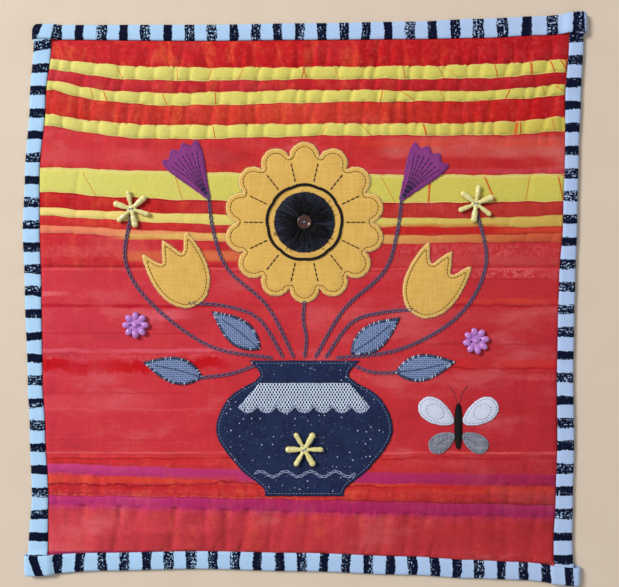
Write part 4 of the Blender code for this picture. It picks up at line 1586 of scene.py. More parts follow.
@dataclass(frozen=True)
class Spot:
    """Where a piece lies: its middle and its turn in degrees."""

    x: float
    y: float
    turn: float = 0.0

    def put(self, outline: Any) -> Array:
        """Return an outline turned and moved to this place.

        Args:
            outline: Its points about the origin.

        Returns:
            The moved points.
        """
        cosine, sine = math.cos(math.radians(self.turn)), math.sin(math.radians(self.turn))
        x, y = np.asarray(outline, dtype=float).T
        return np.stack([self.x + cosine * x - sine * y, self.y + sine * x + cosine * y], axis=1)

    def around(self, angle: Any, reach: Array) -> Array:
        """Return places at an angle from straight up and a reach from the middle."""
        return np.stack([self.x + reach * np.sin(angle), self.y + reach * np.cos(angle)], axis=1)


def runs_of(path: Array) -> Array:
    """Return how far along a path each of its points is."""
    return np.concatenate([[0.0], np.cumsum(np.linalg.norm(np.diff(path, axis=0), axis=1))])


def quarter_turn(rows: Array) -> Array:
    """Return directions turned a quarter to the left."""
    return np.stack([-rows[..., 1], rows[..., 0]], axis=-1)


def area_of(outline: Array) -> float:
    """Return an outline's area, which is less than 0 if it runs clockwise."""
    ahead = np.roll(outline, -1, axis=0)
    return float((outline[:, 0] * ahead[:, 1] - ahead[:, 0] * outline[:, 1]).sum()) / 2


def evenly(outline: Array, pitch: float, closed: bool = True) -> Array:
    """Return a line's points spaced evenly.

    Args:
        outline: The line's points.
        pitch: Millimetres from point to point.
        closed: Whether the line comes back to its start.

    Returns:
        The new points.
    """
    line = np.concatenate([outline, outline[:1]]) if closed else outline
    runs = runs_of(line)
    places = np.linspace(0.0, runs[-1], max(3, round(runs[-1] / pitch)), endpoint=not closed)
    return np.stack([np.interp(places, runs, line[:, axis]) for axis in (0, 1)], axis=1)


def along_edge(outline: Array, pitch: float) -> Iterator[Tuple[Array, Array, Array]]:
    """Walk round an edge.

    Args:
        outline: The edge.
        pitch: Millimetres from place to place.

    Returns:
        Each place, with the way along the edge and the way in.
    """
    edge = evenly(outline, pitch)
    run = unit(np.roll(edge, -1, axis=0) - np.roll(edge, 1, axis=0))
    side = quarter_turn(run)
    is_inward = ((edge.mean(axis=0) - edge) * side).sum(axis=1, keepdims=True) > 0
    return zip(edge, run, np.where(is_inward, side, -side))


def from_edge(points: Array, outline: Array) -> Array:
    """Return each point's distance from an outline.

    Args:
        points: The points.
        outline: The outline.

    Returns:
        The distances.
    """
    along = np.roll(outline, -1, axis=0) - outline
    length = np.maximum((along**2).sum(axis=1), 1e-9)
    away = np.full(len(points), np.inf)
    for a, run, size in zip(outline, along, length):
        share = np.clip(((points - a) @ run) / size, 0.0, 1.0)
        away = np.minimum(away, np.linalg.norm(points - a - share[:, None] * run, axis=1))
    return away


def inside(points: Array, outline: Array) -> Array:
    """Return which points lie inside an outline.

    Args:
        points: The points.
        outline: The outline.

    Returns:
        Whether each lies inside.
    """
    x, y = points.T
    found = np.zeros(len(points), dtype=bool)
    for (x0, y0), (x1, y1) in zip(outline, np.roll(outline, -1, axis=0)):
        if y0 != y1:
            found ^= ((y0 > y) != (y1 > y)) & (x < (x1 - x0) * (y - y0) / (y1 - y0) + x0)
    return found


def inset_line(outline: Array, depth: float) -> Array:
    """Return an outline moved inward, without the points that end up too near it.

    Args:
        outline: The outline.
        depth: How far it is moved.

    Returns:
        The line.
    """
    run = unit(np.roll(outline, -1, axis=0) - np.roll(outline, 1, axis=0))
    moved = outline + quarter_turn(run) * (depth if area_of(outline) > 0 else -depth)
    return moved[inside(moved, outline) & (from_edge(moved, outline) > depth * 0.94)]


@dataclass
class Patch:
    """A cut piece of cloth, sewn down near its edge.

    The face puffs up away from the seam, dips in a ditch along it and droops at the cut edge. Ditch and
    droop give a depth and how broad it is.
    """

    name: str
    cloth: Cloth
    outline: Array
    under: Height
    thickness: float = 0.75
    pitch: float = 1.3
    seam: float = 3.0
    ragged: float = 0.22
    puff: float = 0.25
    rests_on: str = "quilted_sandwich"
    padding_reach: float = 4.0
    ditch: Tuple[float, float] = (0.3, 0.8)
    droop: Tuple[float, float] = (0.25, 0.7)
    creasing: float = 0.07

    def top(self, x: Array, y: Array) -> Array:
        """Return the height of the cloth's face."""
        return self.face_height(x, y, from_edge(np.stack([x, y], axis=1), evenly(self.outline, 2.0)))

    def over_edge(self, outside: Height) -> Height:
        """Return a height that falls to another outside the cut edge."""
        def height(x: Array, y: Array) -> Array:
            """Return the height at places across and up."""
            within = inside(np.stack([x, y], axis=1), self.outline)
            return np.where(within, self.top(x, y), outside(x, y))

        return height

    def face_height(self, x: Array, y: Array, away: Array) -> Array:
        """Return the face's height.

        Args:
            x: Places across.
            y: Places up.
            away: How far away the cut edge is.

        Returns:
            The heights.
        """
        padding = self.puff * (1 - np.exp(-np.maximum(away - self.seam, 0.0) / self.padding_reach))
        ditch = self.ditch[0] * np.exp(-(((away - self.seam) / self.ditch[1]) ** 2))
        droop = self.droop[0] * np.exp(-away / self.droop[1])
        creases = self.creasing * np.sin(x * 0.55 + y * 0.2) * np.sin(y * 0.47 - x * 0.15)
        return self.under(x, y) + self.thickness + padding - ditch - droop + creases

    def triangles(self, edge: Array) -> Tuple[Array, List[Tuple[int, ...]]]:
        """Return the points and triangles that fill a ragged edge.

        Args:
            edge: The edge's points.

        Returns:
            The two.
        """
        low, high = edge.min(axis=0), edge.max(axis=0)
        across = np.arange(low[0], high[0], self.pitch)
        x, y = np.meshgrid(across, np.arange(low[1], high[1], self.pitch * 0.87))
        x = x + (np.arange(len(x)) % 2)[:, None] * self.pitch / 2
        inner = np.stack([x.ravel(), y.ravel()], axis=1)
        inner = inner[inside(inner, edge)]
        inner = inner[from_edge(inner, edge) > self.pitch * 0.45]
        flat = [Vector(place) for place in np.concatenate([edge, inner])]
        ring = [(index, (index + 1) % len(edge)) for index in range(len(edge))]
        found = delaunay_2d_cdt(flat, ring, [], 1, 1e-6)
        return np.array([tuple(place) for place in found[0]]), [tuple(corners) for corners in found[2]]

    def build(self) -> None:
        """Make the cloth: its face, its back and the cut edge between them."""
        line = evenly(self.outline, 1.0)
        rng = np.random.default_rng(len(self.name) * 7 + 3)
        edge = line + rng.uniform(-self.ragged, self.ragged, line.shape)
        places, upper = self.triangles(edge)
        x, y = places.T
        away, total = from_edge(places, edge), len(places)
        points = np.concatenate([np.c_[places, self.face_height(x, y, away)],
                                 np.c_[places, self.under(x, y) + 0.05]])
        lower = [tuple(index + total for index in reversed(corners)) for corners in upper]
        sides = dict.fromkeys(side for corners in upper for side in zip(corners, corners[1:] + corners[:1]))
        walls = [(b, a, a + total, b + total) for a, b in sides if (b, a) not in sides]
        maps = {"Edge": np.tile(away[:, None] * MM, (2, 2))}
        piece = make_mesh(self.name, points, upper + lower + walls, maps)
        dress(piece, self.cloth)
        size = tuple((np.ptp(places, axis=0) * MM).tolist())
        place_piece(piece, self.cloth.slot, self.name.replace("cloth_", ""))


# Thread


@dataclass
class ThreadWork:
    """Many stitches of one thread, joined into one piece."""

    name: str
    cloth: Cloth
    slot: str
    sides: int = 5
    points: List[Array] = field(default_factory=list)
    faces: List[Sequence[int]] = field(default_factory=list)
    uv: List[Array] = field(default_factory=list)
    total: int = 0

    def lay(self, flat: Array, under: Height, lift: Any, radii: Array, closed: bool = False) -> None:
        """Add a round thread along a path seen from above, lifted over the height of the cloth under it."""
        self.tube(np.c_[flat, under(flat[:, 0], flat[:, 1]) + lift], radii, closed)

    def tube(self, path: Array, radii: Array, closed: bool = False) -> None:
        """Add a round thread along a path.

        Args:
            path: Its points, one in each row.
            radii: Its radius at each point.
            closed: Whether it comes back to its start.
        """
        count, sides = len(path), self.sides
        run = np.roll(path, -1, axis=0) - np.roll(path, 1, axis=0) if closed else np.gradient(path, axis=0)
        run = unit(run)
        side = unit(np.cross(run, [0.0, 0.0, 1.0]))
        up = np.cross(side, run)
        angle = (2 * np.pi * np.arange(sides) / sides)[:, None]
        ring = side[:, None] * np.cos(angle) + up[:, None] * np.sin(angle)
        self.points.append((path[:, None] + ring * radii[:, None, None]).reshape(-1, 3))
        around = np.tile(np.arange(sides) / sides, count)
        self.uv.append(np.stack([np.repeat(runs_of(path) * MM, sides), around], axis=1))
        self.faces += (self.total + cells(count, sides, closed, True).reshape(-1, 4)).tolist()
        first = range(self.total, self.total + sides)
        self.total += count * sides
        if not closed:
            self.faces += [first[::-1], range(self.total - sides, self.total)]

    def stitch(self, start: Array, end: Array, under: Height, radius: float, rise: float) -> None:
        """Add one stitch that dips into the cloth at both ends.

        Args:
            start: Where it comes up.
            end: Where it goes down.
            under: The height of the cloth.
            radius: The thread's radius.
            rise: How far its middle lifts.
        """
        shares = np.array([[0.0], [0.12], [0.5], [0.88], [1.0]])
        lift = np.array([-1.6, 0.35, 1.0, 0.35, -1.6])
        lift = np.where(lift < 0, lift * radius, lift * rise + radius * 0.4)
        radii = radius * np.array([0.55, 0.95, 1.0, 0.95, 0.55])
        self.lay(start + shares * (end - start), under, lift, radii)

    def run(self, line: Array, under: Height, length: float, gap: float, radius: float,
            closed: bool = True, rise: float = 0.12) -> None:
        """Add a row of stitches along a line.

        Args:
            line: The line.
            under: The height of the cloth.
            length: The length of a stitch.
            gap: The gap between two.
            radius: The thread's radius.
            closed: Whether the line comes back to its start.
            rise: How far each stitch lifts.
        """
        marks = evenly(line, length + gap, closed)
        share = length / (length + gap)
        for start, end in zip(marks, np.roll(marks, -1, axis=0) if closed else marks[1:]):
            self.stitch(start, start + (end - start) * share, under, radius, rise)

    def rope(self, line: Array, under: Height, length: float, radius: float, aside: float) -> None:
        """Add a closed row of thick stitches that lean over each other like the turns of a rope.

        Args:
            line: The line it follows.
            under: The height of the cloth.
            length: The length of a stitch.
            radius: The thread's radius.
            aside: How far the row lies beside the line.
        """
        marks = evenly(line, length * 0.62)
        run = unit(np.roll(marks, -1, axis=0) - marks)
        for mark, way, out in zip(marks, run, quarter_turn(run)):
            start = mark + out * (aside - 0.4)
            self.stitch(start, start + way * length + out * 0.8, under, radius, 0.5)

    def chain(self, line: Array, under: Height, link: float, width: float, radius: float) -> None:
        """Add a row of chain stitches, each a loop that holds the next.

        Args:
            line: The line it follows.
            under: The height of the cloth.
            link: The length of a stitch.
            width: Its width.
            radius: The thread's radius.
        """
        angle = 2 * np.pi * np.arange(12)[:, None] / 12
        reach = 0.5 - 0.5 * np.cos(angle)
        swing = np.sin(angle) * (0.3 + 0.7 * reach) * width / 2
        lift = radius * (0.7 + 0.9 * np.sin(np.linspace(0.0, np.pi, 12)) ** 2)
        marks = evenly(line, link, False)
        for start, along in zip(marks, np.diff(marks, axis=0)):
            flat = start + along * reach * 1.22 + quarter_turn(unit(along)) * swing
            self.lay(flat, under, lift, np.full(12, radius), closed=True)

    def build(self, *nodes: str) -> None:
        """Make the piece.

        Args:
            nodes: The nodes it stands for.
        """
        maps = {"Cloth": np.concatenate(self.uv)}
        piece = make_mesh(self.name, np.concatenate(self.points), self.faces, maps)
        dress(piece, self.cloth)
        place_piece(piece, self.slot, *nodes)


# The bouquet


@dataclass
class Bouquet:
    """The vase of flowers: cut cloth and the stitching that holds and decorates it.

    Profiles and heads are given as their right side from the foot up, and stems run from the vase's lip.
    """

    sunflower: Spot = Spot(0, 58)
    petal_tip: float = 61.0
    petal_notch: float = 51.0
    petals: int = 14
    centre_radius: float = 23.0
    tulips: Tuple[Tuple[str, Spot], ...] = (
        ("tulip_left", Spot(-95, 20, 28)), ("tulip_right", Spot(98, 12, -30)))
    tulip: Tuple[Point, ...] = (
        (0, -0.5), (0.42, -0.46), (0.84, -0.26), (1, 0.06), (0.86, 0.44), (0.52, 0.26), (0.36, 0.22),
        (0.2, 0.36), (0, 0.5))
    buds: Tuple[Tuple[str, Spot], ...] = (("bud_left", Spot(-85, 96, 32)), ("bud_right", Spot(86, 94, -34)))
    bud: Tuple[Point, ...] = (
        (0.1, -0.5), (0.42, -0.22), (0.9, 0.18), (0.98, 0.42), (0.6, 0.4), (0.34, 0.5), (0, 0.42))
    leaves: Tuple[Tuple[str, Spot], ...] = (
        ("leaf_1", Spot(-52, -24, 52)), ("leaf_2", Spot(54, -28, -54)), ("leaf_3", Spot(-100, -54, 76)),
        ("leaf_4", Spot(92, -52, -80)))
    wings: Tuple[Tuple[str, Spot, float, float], ...] = (
        ("wing_upper_left", Spot(100.5, -86.5, 58), 30, 23),
        ("wing_upper_right", Spot(133.5, -86.5, -58), 30, 23),
        ("wing_lower_left", Spot(104.5, -109, 122), 22, 18),
        ("wing_lower_right", Spot(129.5, -109, -122), 22, 18))
    butterfly: Spot = Spot(117, -97)
    vase: Tuple[Point, ...] = (
        (30, -150), (32, -143), (50, -128), (67, -102), (58, -76), (37, -62), (34, -56), (42, -47))
    stems: Tuple[Tuple[Point, ...], ...] = (
        ((0, -45), (1.5, -30), (-1, -16), (0, -2.6)),
        ((-16, -45), (-34, -16), (-58, -6), (-87, -3)),
        ((16, -45), (36, -18), (62, -10), (89, -8)),
        ((-8, -45), (-28, -6), (-58, 22), (-69, 50), (-73, 79)),
        ((8, -45), (30, -8), (60, 20), (70, 48), (74, 77)),
        ((-24, -45), (-72, -36), (-116, -4), (-136, 28), (-131.5, 64)),
        ((24, -45), (74, -38), (118, -12), (138, 26), (130.5, 68)),
        ((-36, -50), (-56, -57), (-79, -60)),
        ((36, -50), (52, -56), (71, -56)))
    patches: Dict[str, Patch] = field(default_factory=dict)

    def build(self) -> None:
        """Make the bouquet."""
        self.cut()
        self.sew_seams()
        self.sew_outlines()
        self.sew_stems()
        self.sew_sunflower()
        self.sew_leaves()
        self.sew_buds()
        self.sew_butterfly()
        self.fray()

    def add(self, name: str, cloth: Cloth, outline: Array, on: str = "", **other: Any) -> None:
        """Cut and lay one piece of cloth.

        Args:
            name: The node it stands for.
            cloth: Its finish.
            outline: Its cut edge.
            on: The piece of cloth it lies on, or none for the quilted top.
            other: Its other measures.
        """
        under = self.patches[on].top if on else RELIEF.ground_top
        rests_on = "cloth_" + on if on else "quilted_sandwich"
        self.patches[name] = Patch("cloth_" + name, cloth, outline, under, rests_on=rests_on, **other)
        self.patches[name].build()

    @staticmethod
    def hem(depth: float) -> Array:
        """Return a line that follows the collar's scalloped hem.

        Args:
            depth: How far inside it lies.

        Returns:
            The line.
        """
        share = np.arange(85) / 84
        dip = np.abs(np.sin(np.pi * 7 * share)) ** 0.7
        return np.stack([(-50.0 + 100.0 * share) * (1 - depth / 60), -82.0 - 5.0 * dip + depth], axis=1)

    def cut(self) -> None:
        """Make all the cloth."""
        linen = {"thickness": 0.65, "ragged": 0.34}
        petals = scalloped_disc(self.petal_tip, self.petal_notch, self.petals, 16)
        self.add("sunflower_petals", Cloth.LINEN, self.sunflower.put(petals), seam=3.4, **linen)
        centre = scalloped_disc(self.centre_radius, self.centre_radius, 1, 90)
        self.add("sunflower_centre", Cloth.BLACK, self.sunflower.put(centre), "sunflower_petals", seam=1.6,
                 puff=0.7)
        for name, spot in self.tulips:
            self.add(name, Cloth.LINEN, spot.put(head_outline(self.tulip, 44, 56)), seam=2.6, **linen)
        for name, spot in self.buds:
            self.add(name, Cloth.PURPLE, spot.put(head_outline(self.bud, 32, 46)), seam=1.4)
        self.add("vase", Cloth.NAVY, mirrored(smooth_through(self.vase, 6)), seam=2.0)
        collar = np.concatenate([[(34.0, -64.0), (-34.0, -64.0)], self.hem(0.0)])
        self.add("lace_collar", Cloth.LACE, collar, "vase", seam=99.0, thickness=0.6, puff=0.0)
        for name, spot in self.leaves:
            self.add(name, Cloth.LEAF, spot.put(leaf_outline(46, 20)), seam=1.4, thickness=0.9)
        for name, spot, length, width in self.wings:
            cloth = Cloth.PALE if "upper" in name else Cloth.BRUSHED
            self.add(name, cloth, spot.put(wing_outline(length, width)), seam=1.6)

    def sew_round(self, work: ThreadWork, name: str, depth: float, *measures: float) -> None:
        """Sew round a patch at a depth inside its edge, with stitches of these measures."""
        line = inset_line(evenly(self.patches[name].outline, 1.2), depth)
        work.run(line, self.patches[name].top, *measures)

    @staticmethod
    def sew_seams() -> None:
        """Sew along some of the stripes' seams."""
        work = ThreadWork("seam_stitching", Cloth.RED_THREAD, "striped_cotton", 4)
        x = np.arange(-193.0, 193.0, 3.0)
        for index in (1, 3, 5, 7, 18):
            line = np.stack([x, RELIEF.seam_line(index, x) - 0.35], axis=1)
            work.run(line, RELIEF.top, 2.2, 1.0, 0.17, closed=False)
        work.build()

    def sew_outlines(self) -> None:
        """Sew round the linen and the vase by machine."""
        work = ThreadWork("machine_stitching", Cloth.BROWN_THREAD, "black_cloth")
        for name, depth in (("sunflower_petals", 3.4), ("tulip_left", 2.6), ("tulip_right", 2.6)):
            self.sew_round(work, name, depth, 2.4, 0.3, 0.27)
        work.build()
        pale = ThreadWork("vase_stitching", Cloth.GREY_THREAD, "pale_grey_cloth")
        self.sew_round(pale, "vase", 2.0, 2.0, 0.7, 0.17)
        x = np.arange(-38.0, 39.0, 2.0)
        wave = np.stack([x, -133.0 + 2.4 * np.sin(x * 0.33)], axis=1)
        pale.chain(wave, self.patches["vase"].top, 4.0, 2.4, 0.33)
        for depth in (0.5, 2.4):
            pale.run(self.hem(depth), self.patches["lace_collar"].top, 2.2, 0.1, 0.3, closed=False, rise=0.2)
        pale.build()

    def sew_stems(self) -> None:
        """Chain-stitch the stems on the quilted top."""
        work = ThreadWork("stem_stitching", Cloth.CHAIN_THREAD, "black_cloth")
        for route in self.stems:
            work.chain(smooth_through(route, 10), RELIEF.top, 4.0, 2.9, 0.47)
        work.build()

    def sew_sunflower(self) -> None:
        """Sew the petals' folds, the thick ring and the tuft."""
        rng = random.Random(5)
        petals = self.patches["sunflower_petals"].top
        ring = ThreadWork("thick_ring", Cloth.BLACK_THREAD, "black_cloth", 6)
        circle = self.sunflower.put(scalloped_disc(28.6, 27.8, 9, 10))
        for slant in (-0.35, 0.35):
            ring.rope(circle, petals, 3.4, 0.62, slant)
        ends = np.array([31.5, self.petal_notch - 4.5])
        for index in range(self.petals):
            spoke = self.sunflower.around(2 * math.pi * (index + 0.5) / self.petals, ends)
            ring.run(spoke, petals, 2.6, 0.4, 0.42, closed=False)
        ring.build()
        tuft = ThreadWork("thread_tuft", Cloth.BLACK_THREAD, "black_cloth", 4)
        under = self.patches["sunflower_centre"].over_edge(petals)
        shares = np.linspace(0.0, 1.0, 6)
        for _ in range(150):
            angle = rng.uniform(0.0, 2 * math.pi)
            start, end = rng.uniform(4.8, 8.0), rng.uniform(15.0, 25.8)
            bend, rise = rng.uniform(-0.12, 0.12), rng.uniform(0.8, 2.4)
            flat = self.sunflower.around(angle + bend * shares**2, start + (end - start) * shares)
            tuft.lay(flat, under, 0.2 + rise * np.sin(shares * 2.8), 0.4 * (1 - 0.6 * shares))
        tuft.build()

    def sew_leaves(self) -> None:
        """Overcast the leaves in two threads, and sew their veins."""
        dark = ThreadWork("leaf_overcasting", Cloth.NAVY_THREAD, "black_cloth")
        light = ThreadWork("leaf_highlights", Cloth.WHITE_THREAD, "white_lace")
        rng = random.Random(8)
        for name, spot in self.leaves:
            patch = self.patches[name]
            under = patch.over_edge(RELIEF.ground_top)
            for point, run, inward in along_edge(patch.outline, 1.25):
                end = point + inward * rng.uniform(1.5, 2.1) + run * rng.uniform(0.3, 0.9)
                work = light if rng.random() < 0.24 else dark
                work.stitch(point - inward * 0.5, end, under, 0.32, 0.3)
            vein = smooth_through(spot.put([(0.0, -20.0), (0.8, -4.0), (0.0, 14.0)]), 6)
            dark.run(vein, patch.top, 2.4, 0.3, 0.34, closed=False)
        dark.build()
        light.build()

    def sew_buds(self) -> None:
        """Sew a fan of dark lines on each bud."""
        work = ThreadWork("bud_fans", Cloth.NAVY_THREAD, "black_cloth")
        for name, spot in self.buds:
            for side in np.linspace(-1.0, 1.0, 7):
                knots = ((side * 0.5, -20.0), (side * 4.6, -4.0), (side * 11.5, 15.5 - 3.0 * abs(side)))
                line = spot.put(smooth_through(knots, 5))
                work.run(line, self.patches[name].top, 3.0, 0.15, 0.3, closed=False)
            self.sew_round(work, name, 1.3, 1.6, 0.5, 0.16)
        work.build()

    def sew_butterfly(self) -> None:
        """Sew round the wings, dot the pale ones, and add the body and the feelers."""
        work = ThreadWork("wing_stitching", Cloth.NAVY_THREAD, "black_cloth")
        for name, spot, length, width in self.wings:
            top = self.patches[name].top
            self.sew_round(work, name, 1.6, 1.3, 0.9, 0.17)
            if "upper" in name:
                dots = scalloped_disc(1.0, 1.0, 1, 12) * (width * 0.24, length * 0.24) + (0.0, 1.5)
                work.run(spot.put(dots), top, 0.9, 1.3, 0.2)
            else:
                vein = spot.put([(0.0, -length * 0.4), (1.0, 0.0), (0.0, length * 0.25)])
                work.run(vein, top, 1.8, 0.5, 0.18, closed=False)
        self.sew_body()
        for side in (-1.0, 1.0):
            feeler = self.butterfly.put([(side * 0.8, 16.5), (side * 3.0, 25.0), (side * 7.5, 31.0)])
            work.run(smooth_through(feeler, 6), RELIEF.top, 1.8, 0.3, 0.24, closed=False)
        work.build()

    def sew_body(self) -> None:
        """Cover the butterfly's body with close stitches from side to side."""
        work = ThreadWork("butterfly_satin_stitch", Cloth.BLACK_THREAD, "black_cloth", 6)
        across = np.linspace(-1.0, 1.0, 7)
        lift = 1.3 * np.sqrt(np.maximum(1 - across**2, 0.0)) - 0.1
        for share in np.linspace(-1.0, 1.0, 58):
            wide = 2.5 * (1 - abs(share) ** 3) ** 0.5 + 0.3
            flat = self.butterfly.put(np.stack([wide * across, 17.0 * share + 0.25 * across], axis=1))
            work.lay(flat, RELIEF.ground_top, lift, np.full(7, 0.36))
        work.build("butterfly_body")

    def fray(self) -> None:
        """Let short threads stand out of the linen's cut edges."""
        rng = random.Random(21)
        work = ThreadWork("linen_fray", Cloth.GOLD_THREAD, "golden_linen", 3)
        for name in ("sunflower_petals", "tulip_left", "tulip_right"):
            for point, run, inward in along_edge(self.patches[name].outline, 0.6):
                lean = run * rng.uniform(-0.7, 0.7)
                tip, root = point + (lean - inward) * rng.uniform(0.3, 1.5), point + inward * 0.3
                flat = np.array([root, (root + tip) / 2, tip])
                work.lay(flat, RELIEF.ground_top, rng.uniform(0.2, 0.6), np.array([0.1, 0.09, 0.05]))
        work.build()


# Buttons


def only(*chosen: Thing) -> None:
    """Select some objects and nothing else.

    Args:
        chosen: The objects, the first of which becomes the active one.
    """
    bpy.ops.object.select_all(action="DESELECT")
    for thing in chosen:
        thing.select_set(True)
    if chosen:
        bpy.context.view_layer.objects.active = chosen[0]


def settle(piece: Thing) -> None:
    """Put an object's place, turn and size into its mesh."""
    only(piece)
    bpy.ops.object.transform_apply(location=True, rotation=True, scale=True)


def reshape(body: Thing, kind: str, **settings: Any) -> None:
    """Apply a modifier to an object.

    Args:
        body: The object.
        kind: The modifier's type.
        settings: Its settings.
    """
    made = body.modifiers.new(kind, kind)
    for key, value in settings.items():
        setattr(made, key, value)
    only(body)
    bpy.ops.object.modifier_apply(modifier=made.name)


@dataclass
class Buttons:
    """The sewn-on buttons, modelled one of each kind and copied.

    Each has its node, its place and the piece of cloth it is sewn to, or none for the quilted top. Petal
    lumps give each lump's place along a petal, as a share of the radius, and its half sizes.
    """

    stars: Tuple[Tuple[str, Spot, str], ...] = (
        ("star_button_1", Spot(-131, 68, 12), ""), ("star_button_2", Spot(130, 72, -8), ""),
        ("star_button_3", Spot(0, -114, 30), "vase"))
    beads: Tuple[Tuple[str, Spot, str], ...] = (
        ("bead_button_1", Spot(-128, -20), ""), ("bead_button_2", Spot(130, -32, 10), ""))
    rounds: Tuple[Tuple[str, Spot, str], ...] = (("round_button", Bouquet.sunflower, "sunflower_centre"),)
    star_radius: float = 14.5
    petal_lumps: Tuple[Tuple[float, ...], ...] = (
        (0.82, 2.5, 2.6, 2.0), (0.6, 2.3, 5.6, 1.95), (0.36, 1.7, 4.6, 1.6))
    bead_radius: float = 10.2
    round_radius: float = 5.4

    @staticmethod
    def ball(angle: float, reach: float, height: float, scale: Tuple[float, float, float]) -> Thing:
        """Add a rounded lump that points away from the middle.

        Args:
            angle: Where it lies about the middle, in radians.
            reach: How far it lies from the middle.
            height: How high it lies.
            scale: Its half sizes.

        Returns:
            The lump.
        """
        only()
        place = (reach * math.sin(angle) * MM, reach * math.cos(angle) * MM, height * MM)
        bpy.ops.mesh.primitive_uv_sphere_add(segments=24, ring_count=12, radius=MM, location=place)
        lump = bpy.context.object
        lump.scale = scale
        lump.rotation_euler = (0.0, 0.0, -angle)
        settle(lump)
        return lump

    @staticmethod
    def join(parts: List[Thing]) -> Thing:
        """Join lumps that overlap into one closed body.

        Args:
            parts: The lumps.

        Returns:
            The body.
        """
        only(*parts)
        bpy.ops.object.join()
        body = bpy.context.object
        settle(body)
        reshape(body, "REMESH", mode="VOXEL", voxel_size=0.25 * MM, adaptivity=0.0)
        reshape(body, "SMOOTH", factor=0.5, iterations=3)
        bpy.ops.object.shade_smooth()
        return body

    @staticmethod
    def drill(body: Thing, away: float, radius: float) -> None:
        """Cut two sewing holes through a body.

        Args:
            body: The body.
            away: How far each lies from the middle.
            radius: Their radius.
        """
        for x in (-away, away):
            only()
            place = (x * MM, 0.0, 0.002)
            bpy.ops.mesh.primitive_cylinder_add(vertices=20, radius=radius * MM, depth=0.02, location=place)
            tool = bpy.context.object
            reshape(body, "BOOLEAN", object=tool, operation="DIFFERENCE")
            bpy.data.objects.remove(tool, do_unlink=True)

    def star(self) -> Thing:
        """Model a button of six long petals, round like rods and thicker toward their tips.

        Returns:
            The button.
        """
        parts = [self.ball(0.0, 0.0, 1.9, (3.6, 3.6, 1.7))]
        for index in range(6):
            broad = 1.0 if index % 2 else 0.8
            for along, across, long, tall in self.petal_lumps:
                size = (across * broad, long, tall * (broad + 1) / 2)
                parts.append(self.ball(2 * math.pi * index / 6, self.star_radius * along, 2.3, size))
        body = self.join(parts)
        self.drill(body, 1.2, 0.7)
        return body

    def bead_flower(self) -> Thing:
        """Model a button of eight round beads about a ninth.

        Returns:
            The button.
        """
        parts = [self.ball(0.0, 0.0, 1.5, (7.4, 7.4, 1.1)), self.ball(0.0, 0.0, 2.4, (2.1, 2.1, 1.9))]
        for index in range(8):
            size = (2.55, self.bead_radius * 0.3, 1.95)
            parts.append(self.ball(2 * math.pi * index / 8, self.bead_radius * 0.7, 2.1, size))
        body = self.join(parts)
        self.drill(body, 3.4, 0.8)
        return body

    def round_button(self) -> Thing:
        """Model a small round button with a raised rim and two holes.

        Returns:
            The button.
        """
        only()
        place = (0.0, 0.0, 1.1 * MM)
        radius = self.round_radius * MM
        bpy.ops.mesh.primitive_cylinder_add(vertices=48, radius=radius, depth=2.2 * MM, location=place)
        body = bpy.context.object
        settle(body)
        bpy.ops.object.mode_set(mode="EDIT")
        bpy.ops.mesh.select_mode(type="FACE")
        bpy.ops.mesh.select_all(action="DESELECT")
        shape = bmesh.from_edit_mesh(body.data)
        for face in shape.faces:
            face.select_set(face.normal.z > 0.9)
        bmesh.update_edit_mesh(body.data)
        bpy.ops.mesh.inset(thickness=1.5 * MM, depth=0.0)
        bpy.ops.mesh.inset(thickness=0.5 * MM, depth=-0.7 * MM)
        bpy.ops.object.mode_set(mode="OBJECT")
        reshape(body, "BEVEL", width=0.45 * MM, segments=3)
        self.drill(body, 1.1, 0.55)
        bpy.ops.object.shade_smooth_by_angle(angle=math.radians(50))
        return body

    @staticmethod
    def copy(pattern: Thing, name: str, spot: Spot, seat: float) -> Thing:
        """Place a copy of a button.

        Args:
            pattern: The button that was modelled.
            name: The copy's name.
            spot: Where it is sewn.
            seat: The height it sits at.

        Returns:
            The copy.
        """
        piece = add_object(name, pattern.data.copy())
        piece.location = (spot.x * MM, spot.y * MM, seat * MM)
        piece.rotation_euler = (0.0, 0.0, math.radians(spot.turn))
        settle(piece)
        return piece

    @staticmethod
    def sew_on(work: ThreadWork, spot: Spot, seat: float, reach: float, rise: float) -> None:
        """Add the two threads that run across a button between its holes.

        Args:
            work: The thread.
            spot: Where the button is.
            seat: The height it sits at.
            reach: How far each hole lies from the middle.
            rise: How high over the seat the thread runs.
        """
        shares = np.array([-1.0, -0.92, 0.0, 0.92, 1.0])
        height = seat + rise + np.array([-1.0, 0.1, 0.35, 0.1, -1.0])
        for offset in (-0.25, 0.25):
            flat = spot.put(np.stack([shares * reach, np.full(5, offset)], axis=1))
            work.tube(np.c_[flat, height], np.full(5, 0.24))

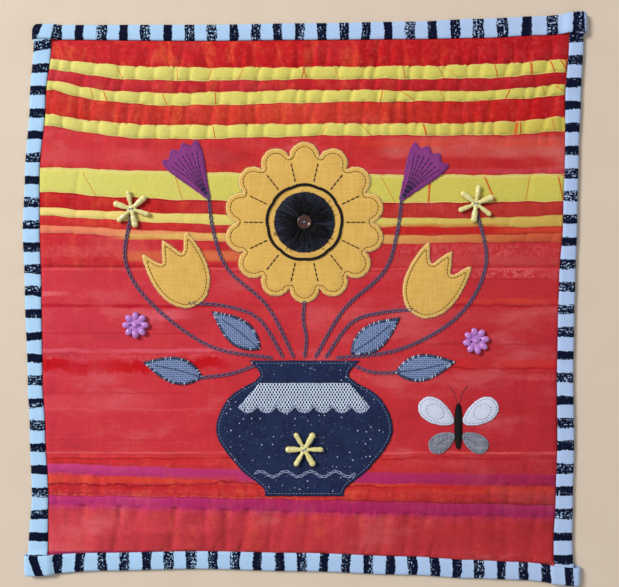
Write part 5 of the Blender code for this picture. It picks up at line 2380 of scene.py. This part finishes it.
    def build(self, bouquet: Bouquet) -> None:
        """Make the buttons.

        Args:
            bouquet: The cloth that some of them are sewn to.
        """
        work = ThreadWork("button_thread", Cloth.GREY_THREAD, "pale_grey_cloth")
        for pattern, places, cloth, sunk, thread in (
                (self.star(), self.stars, Cloth.YELLOW, 0.1, (1.2, 3.4)),
                (self.bead_flower(), self.beads, Cloth.LILAC, 0.1, ()),
                (self.round_button(), self.rounds, Cloth.BROWN, -0.1, (1.1, 1.5))):
            for name, spot, on in places:
                under = bouquet.patches[on].top if on else RELIEF.ground_top
                seat = float(under(np.array([spot.x]), np.array([spot.y]))[0]) - sunk
                piece = self.copy(pattern, "sewn_" + name, spot, seat)
                dress(piece, cloth)
                place_piece(piece, cloth.slot, name)
                if thread:
                    self.sew_on(work, spot, seat, *thread)
            bpy.data.objects.remove(pattern, do_unlink=True)
        work.build()


# Studio


@dataclass
class Studio:
    """The camera, the light and the floor."""

    aim: Tuple[float, float, float] = (0.00384, 0.00395, 0.604)
    lens: float = 45.92

    def camera(self) -> None:
        """Look straight down."""
        data = bpy.data.cameras.new("camera")
        data.lens = self.lens
        data.sensor_width = 36.0
        data.clip_start = 0.01
        bpy.context.scene.camera = add_object("camera", data)
        bpy.context.scene.camera.location = self.aim

    @staticmethod
    def lamp(name: str, place: Tuple[float, ...], size: float, power: float, colour: Colour) -> None:
        """Add a soft light that faces the quilt.

        Args:
            name: Its name.
            place: Where it is in metres.
            size: How wide it is in metres.
            power: Its watts.
            colour: Its colour in linear light.
        """
        data = bpy.data.lights.new(name, "AREA")
        data.size = size
        data.energy = power
        data.color = colour
        lamp = add_object(name, data)
        lamp.location = place
        lamp.rotation_euler = (-Vector(place)).to_track_quat("-Z", "Y").to_euler()

    @staticmethod
    def floor() -> None:
        """Lay a pale floor."""
        only()
        bpy.ops.mesh.primitive_plane_add(size=4.0, location=(0.0, 0.0, -0.0001))
        floor = bpy.context.object
        floor.name = "floor"
        floor.data.materials.append(PaleTable().material())

    def build(self) -> None:
        """Make the studio."""
        self.camera()
        self.floor()
        self.lamp("window", (-2.0, 1.25, 2.1), 0.9, 97.0, (1.0, 0.985, 0.96))
        self.lamp("fill", (1.2, -0.8, 2.0), 1.8, 6.0, (1.0, 0.98, 0.95))
        world = bpy.data.worlds.new("room")
        world.use_nodes = True
        background = world.node_tree.nodes["Background"]
        background.inputs["Color"].default_value = (0.9, 0.94, 1.0, 1.0)
        background.inputs["Strength"].default_value = 0.385
        bpy.context.scene.world = world
        bpy.context.scene.view_settings.view_transform = "Standard"


def main() -> None:
    """Build the quilt's looks."""
    logging.basicConfig(level=logging.INFO, format="%(message)s")
    Sandwich().build()
    Binding().build()
    bouquet = Bouquet()
    bouquet.build()
    Buttons().build(bouquet)
    Studio().build()


if __name__ == "__main__":
    main()
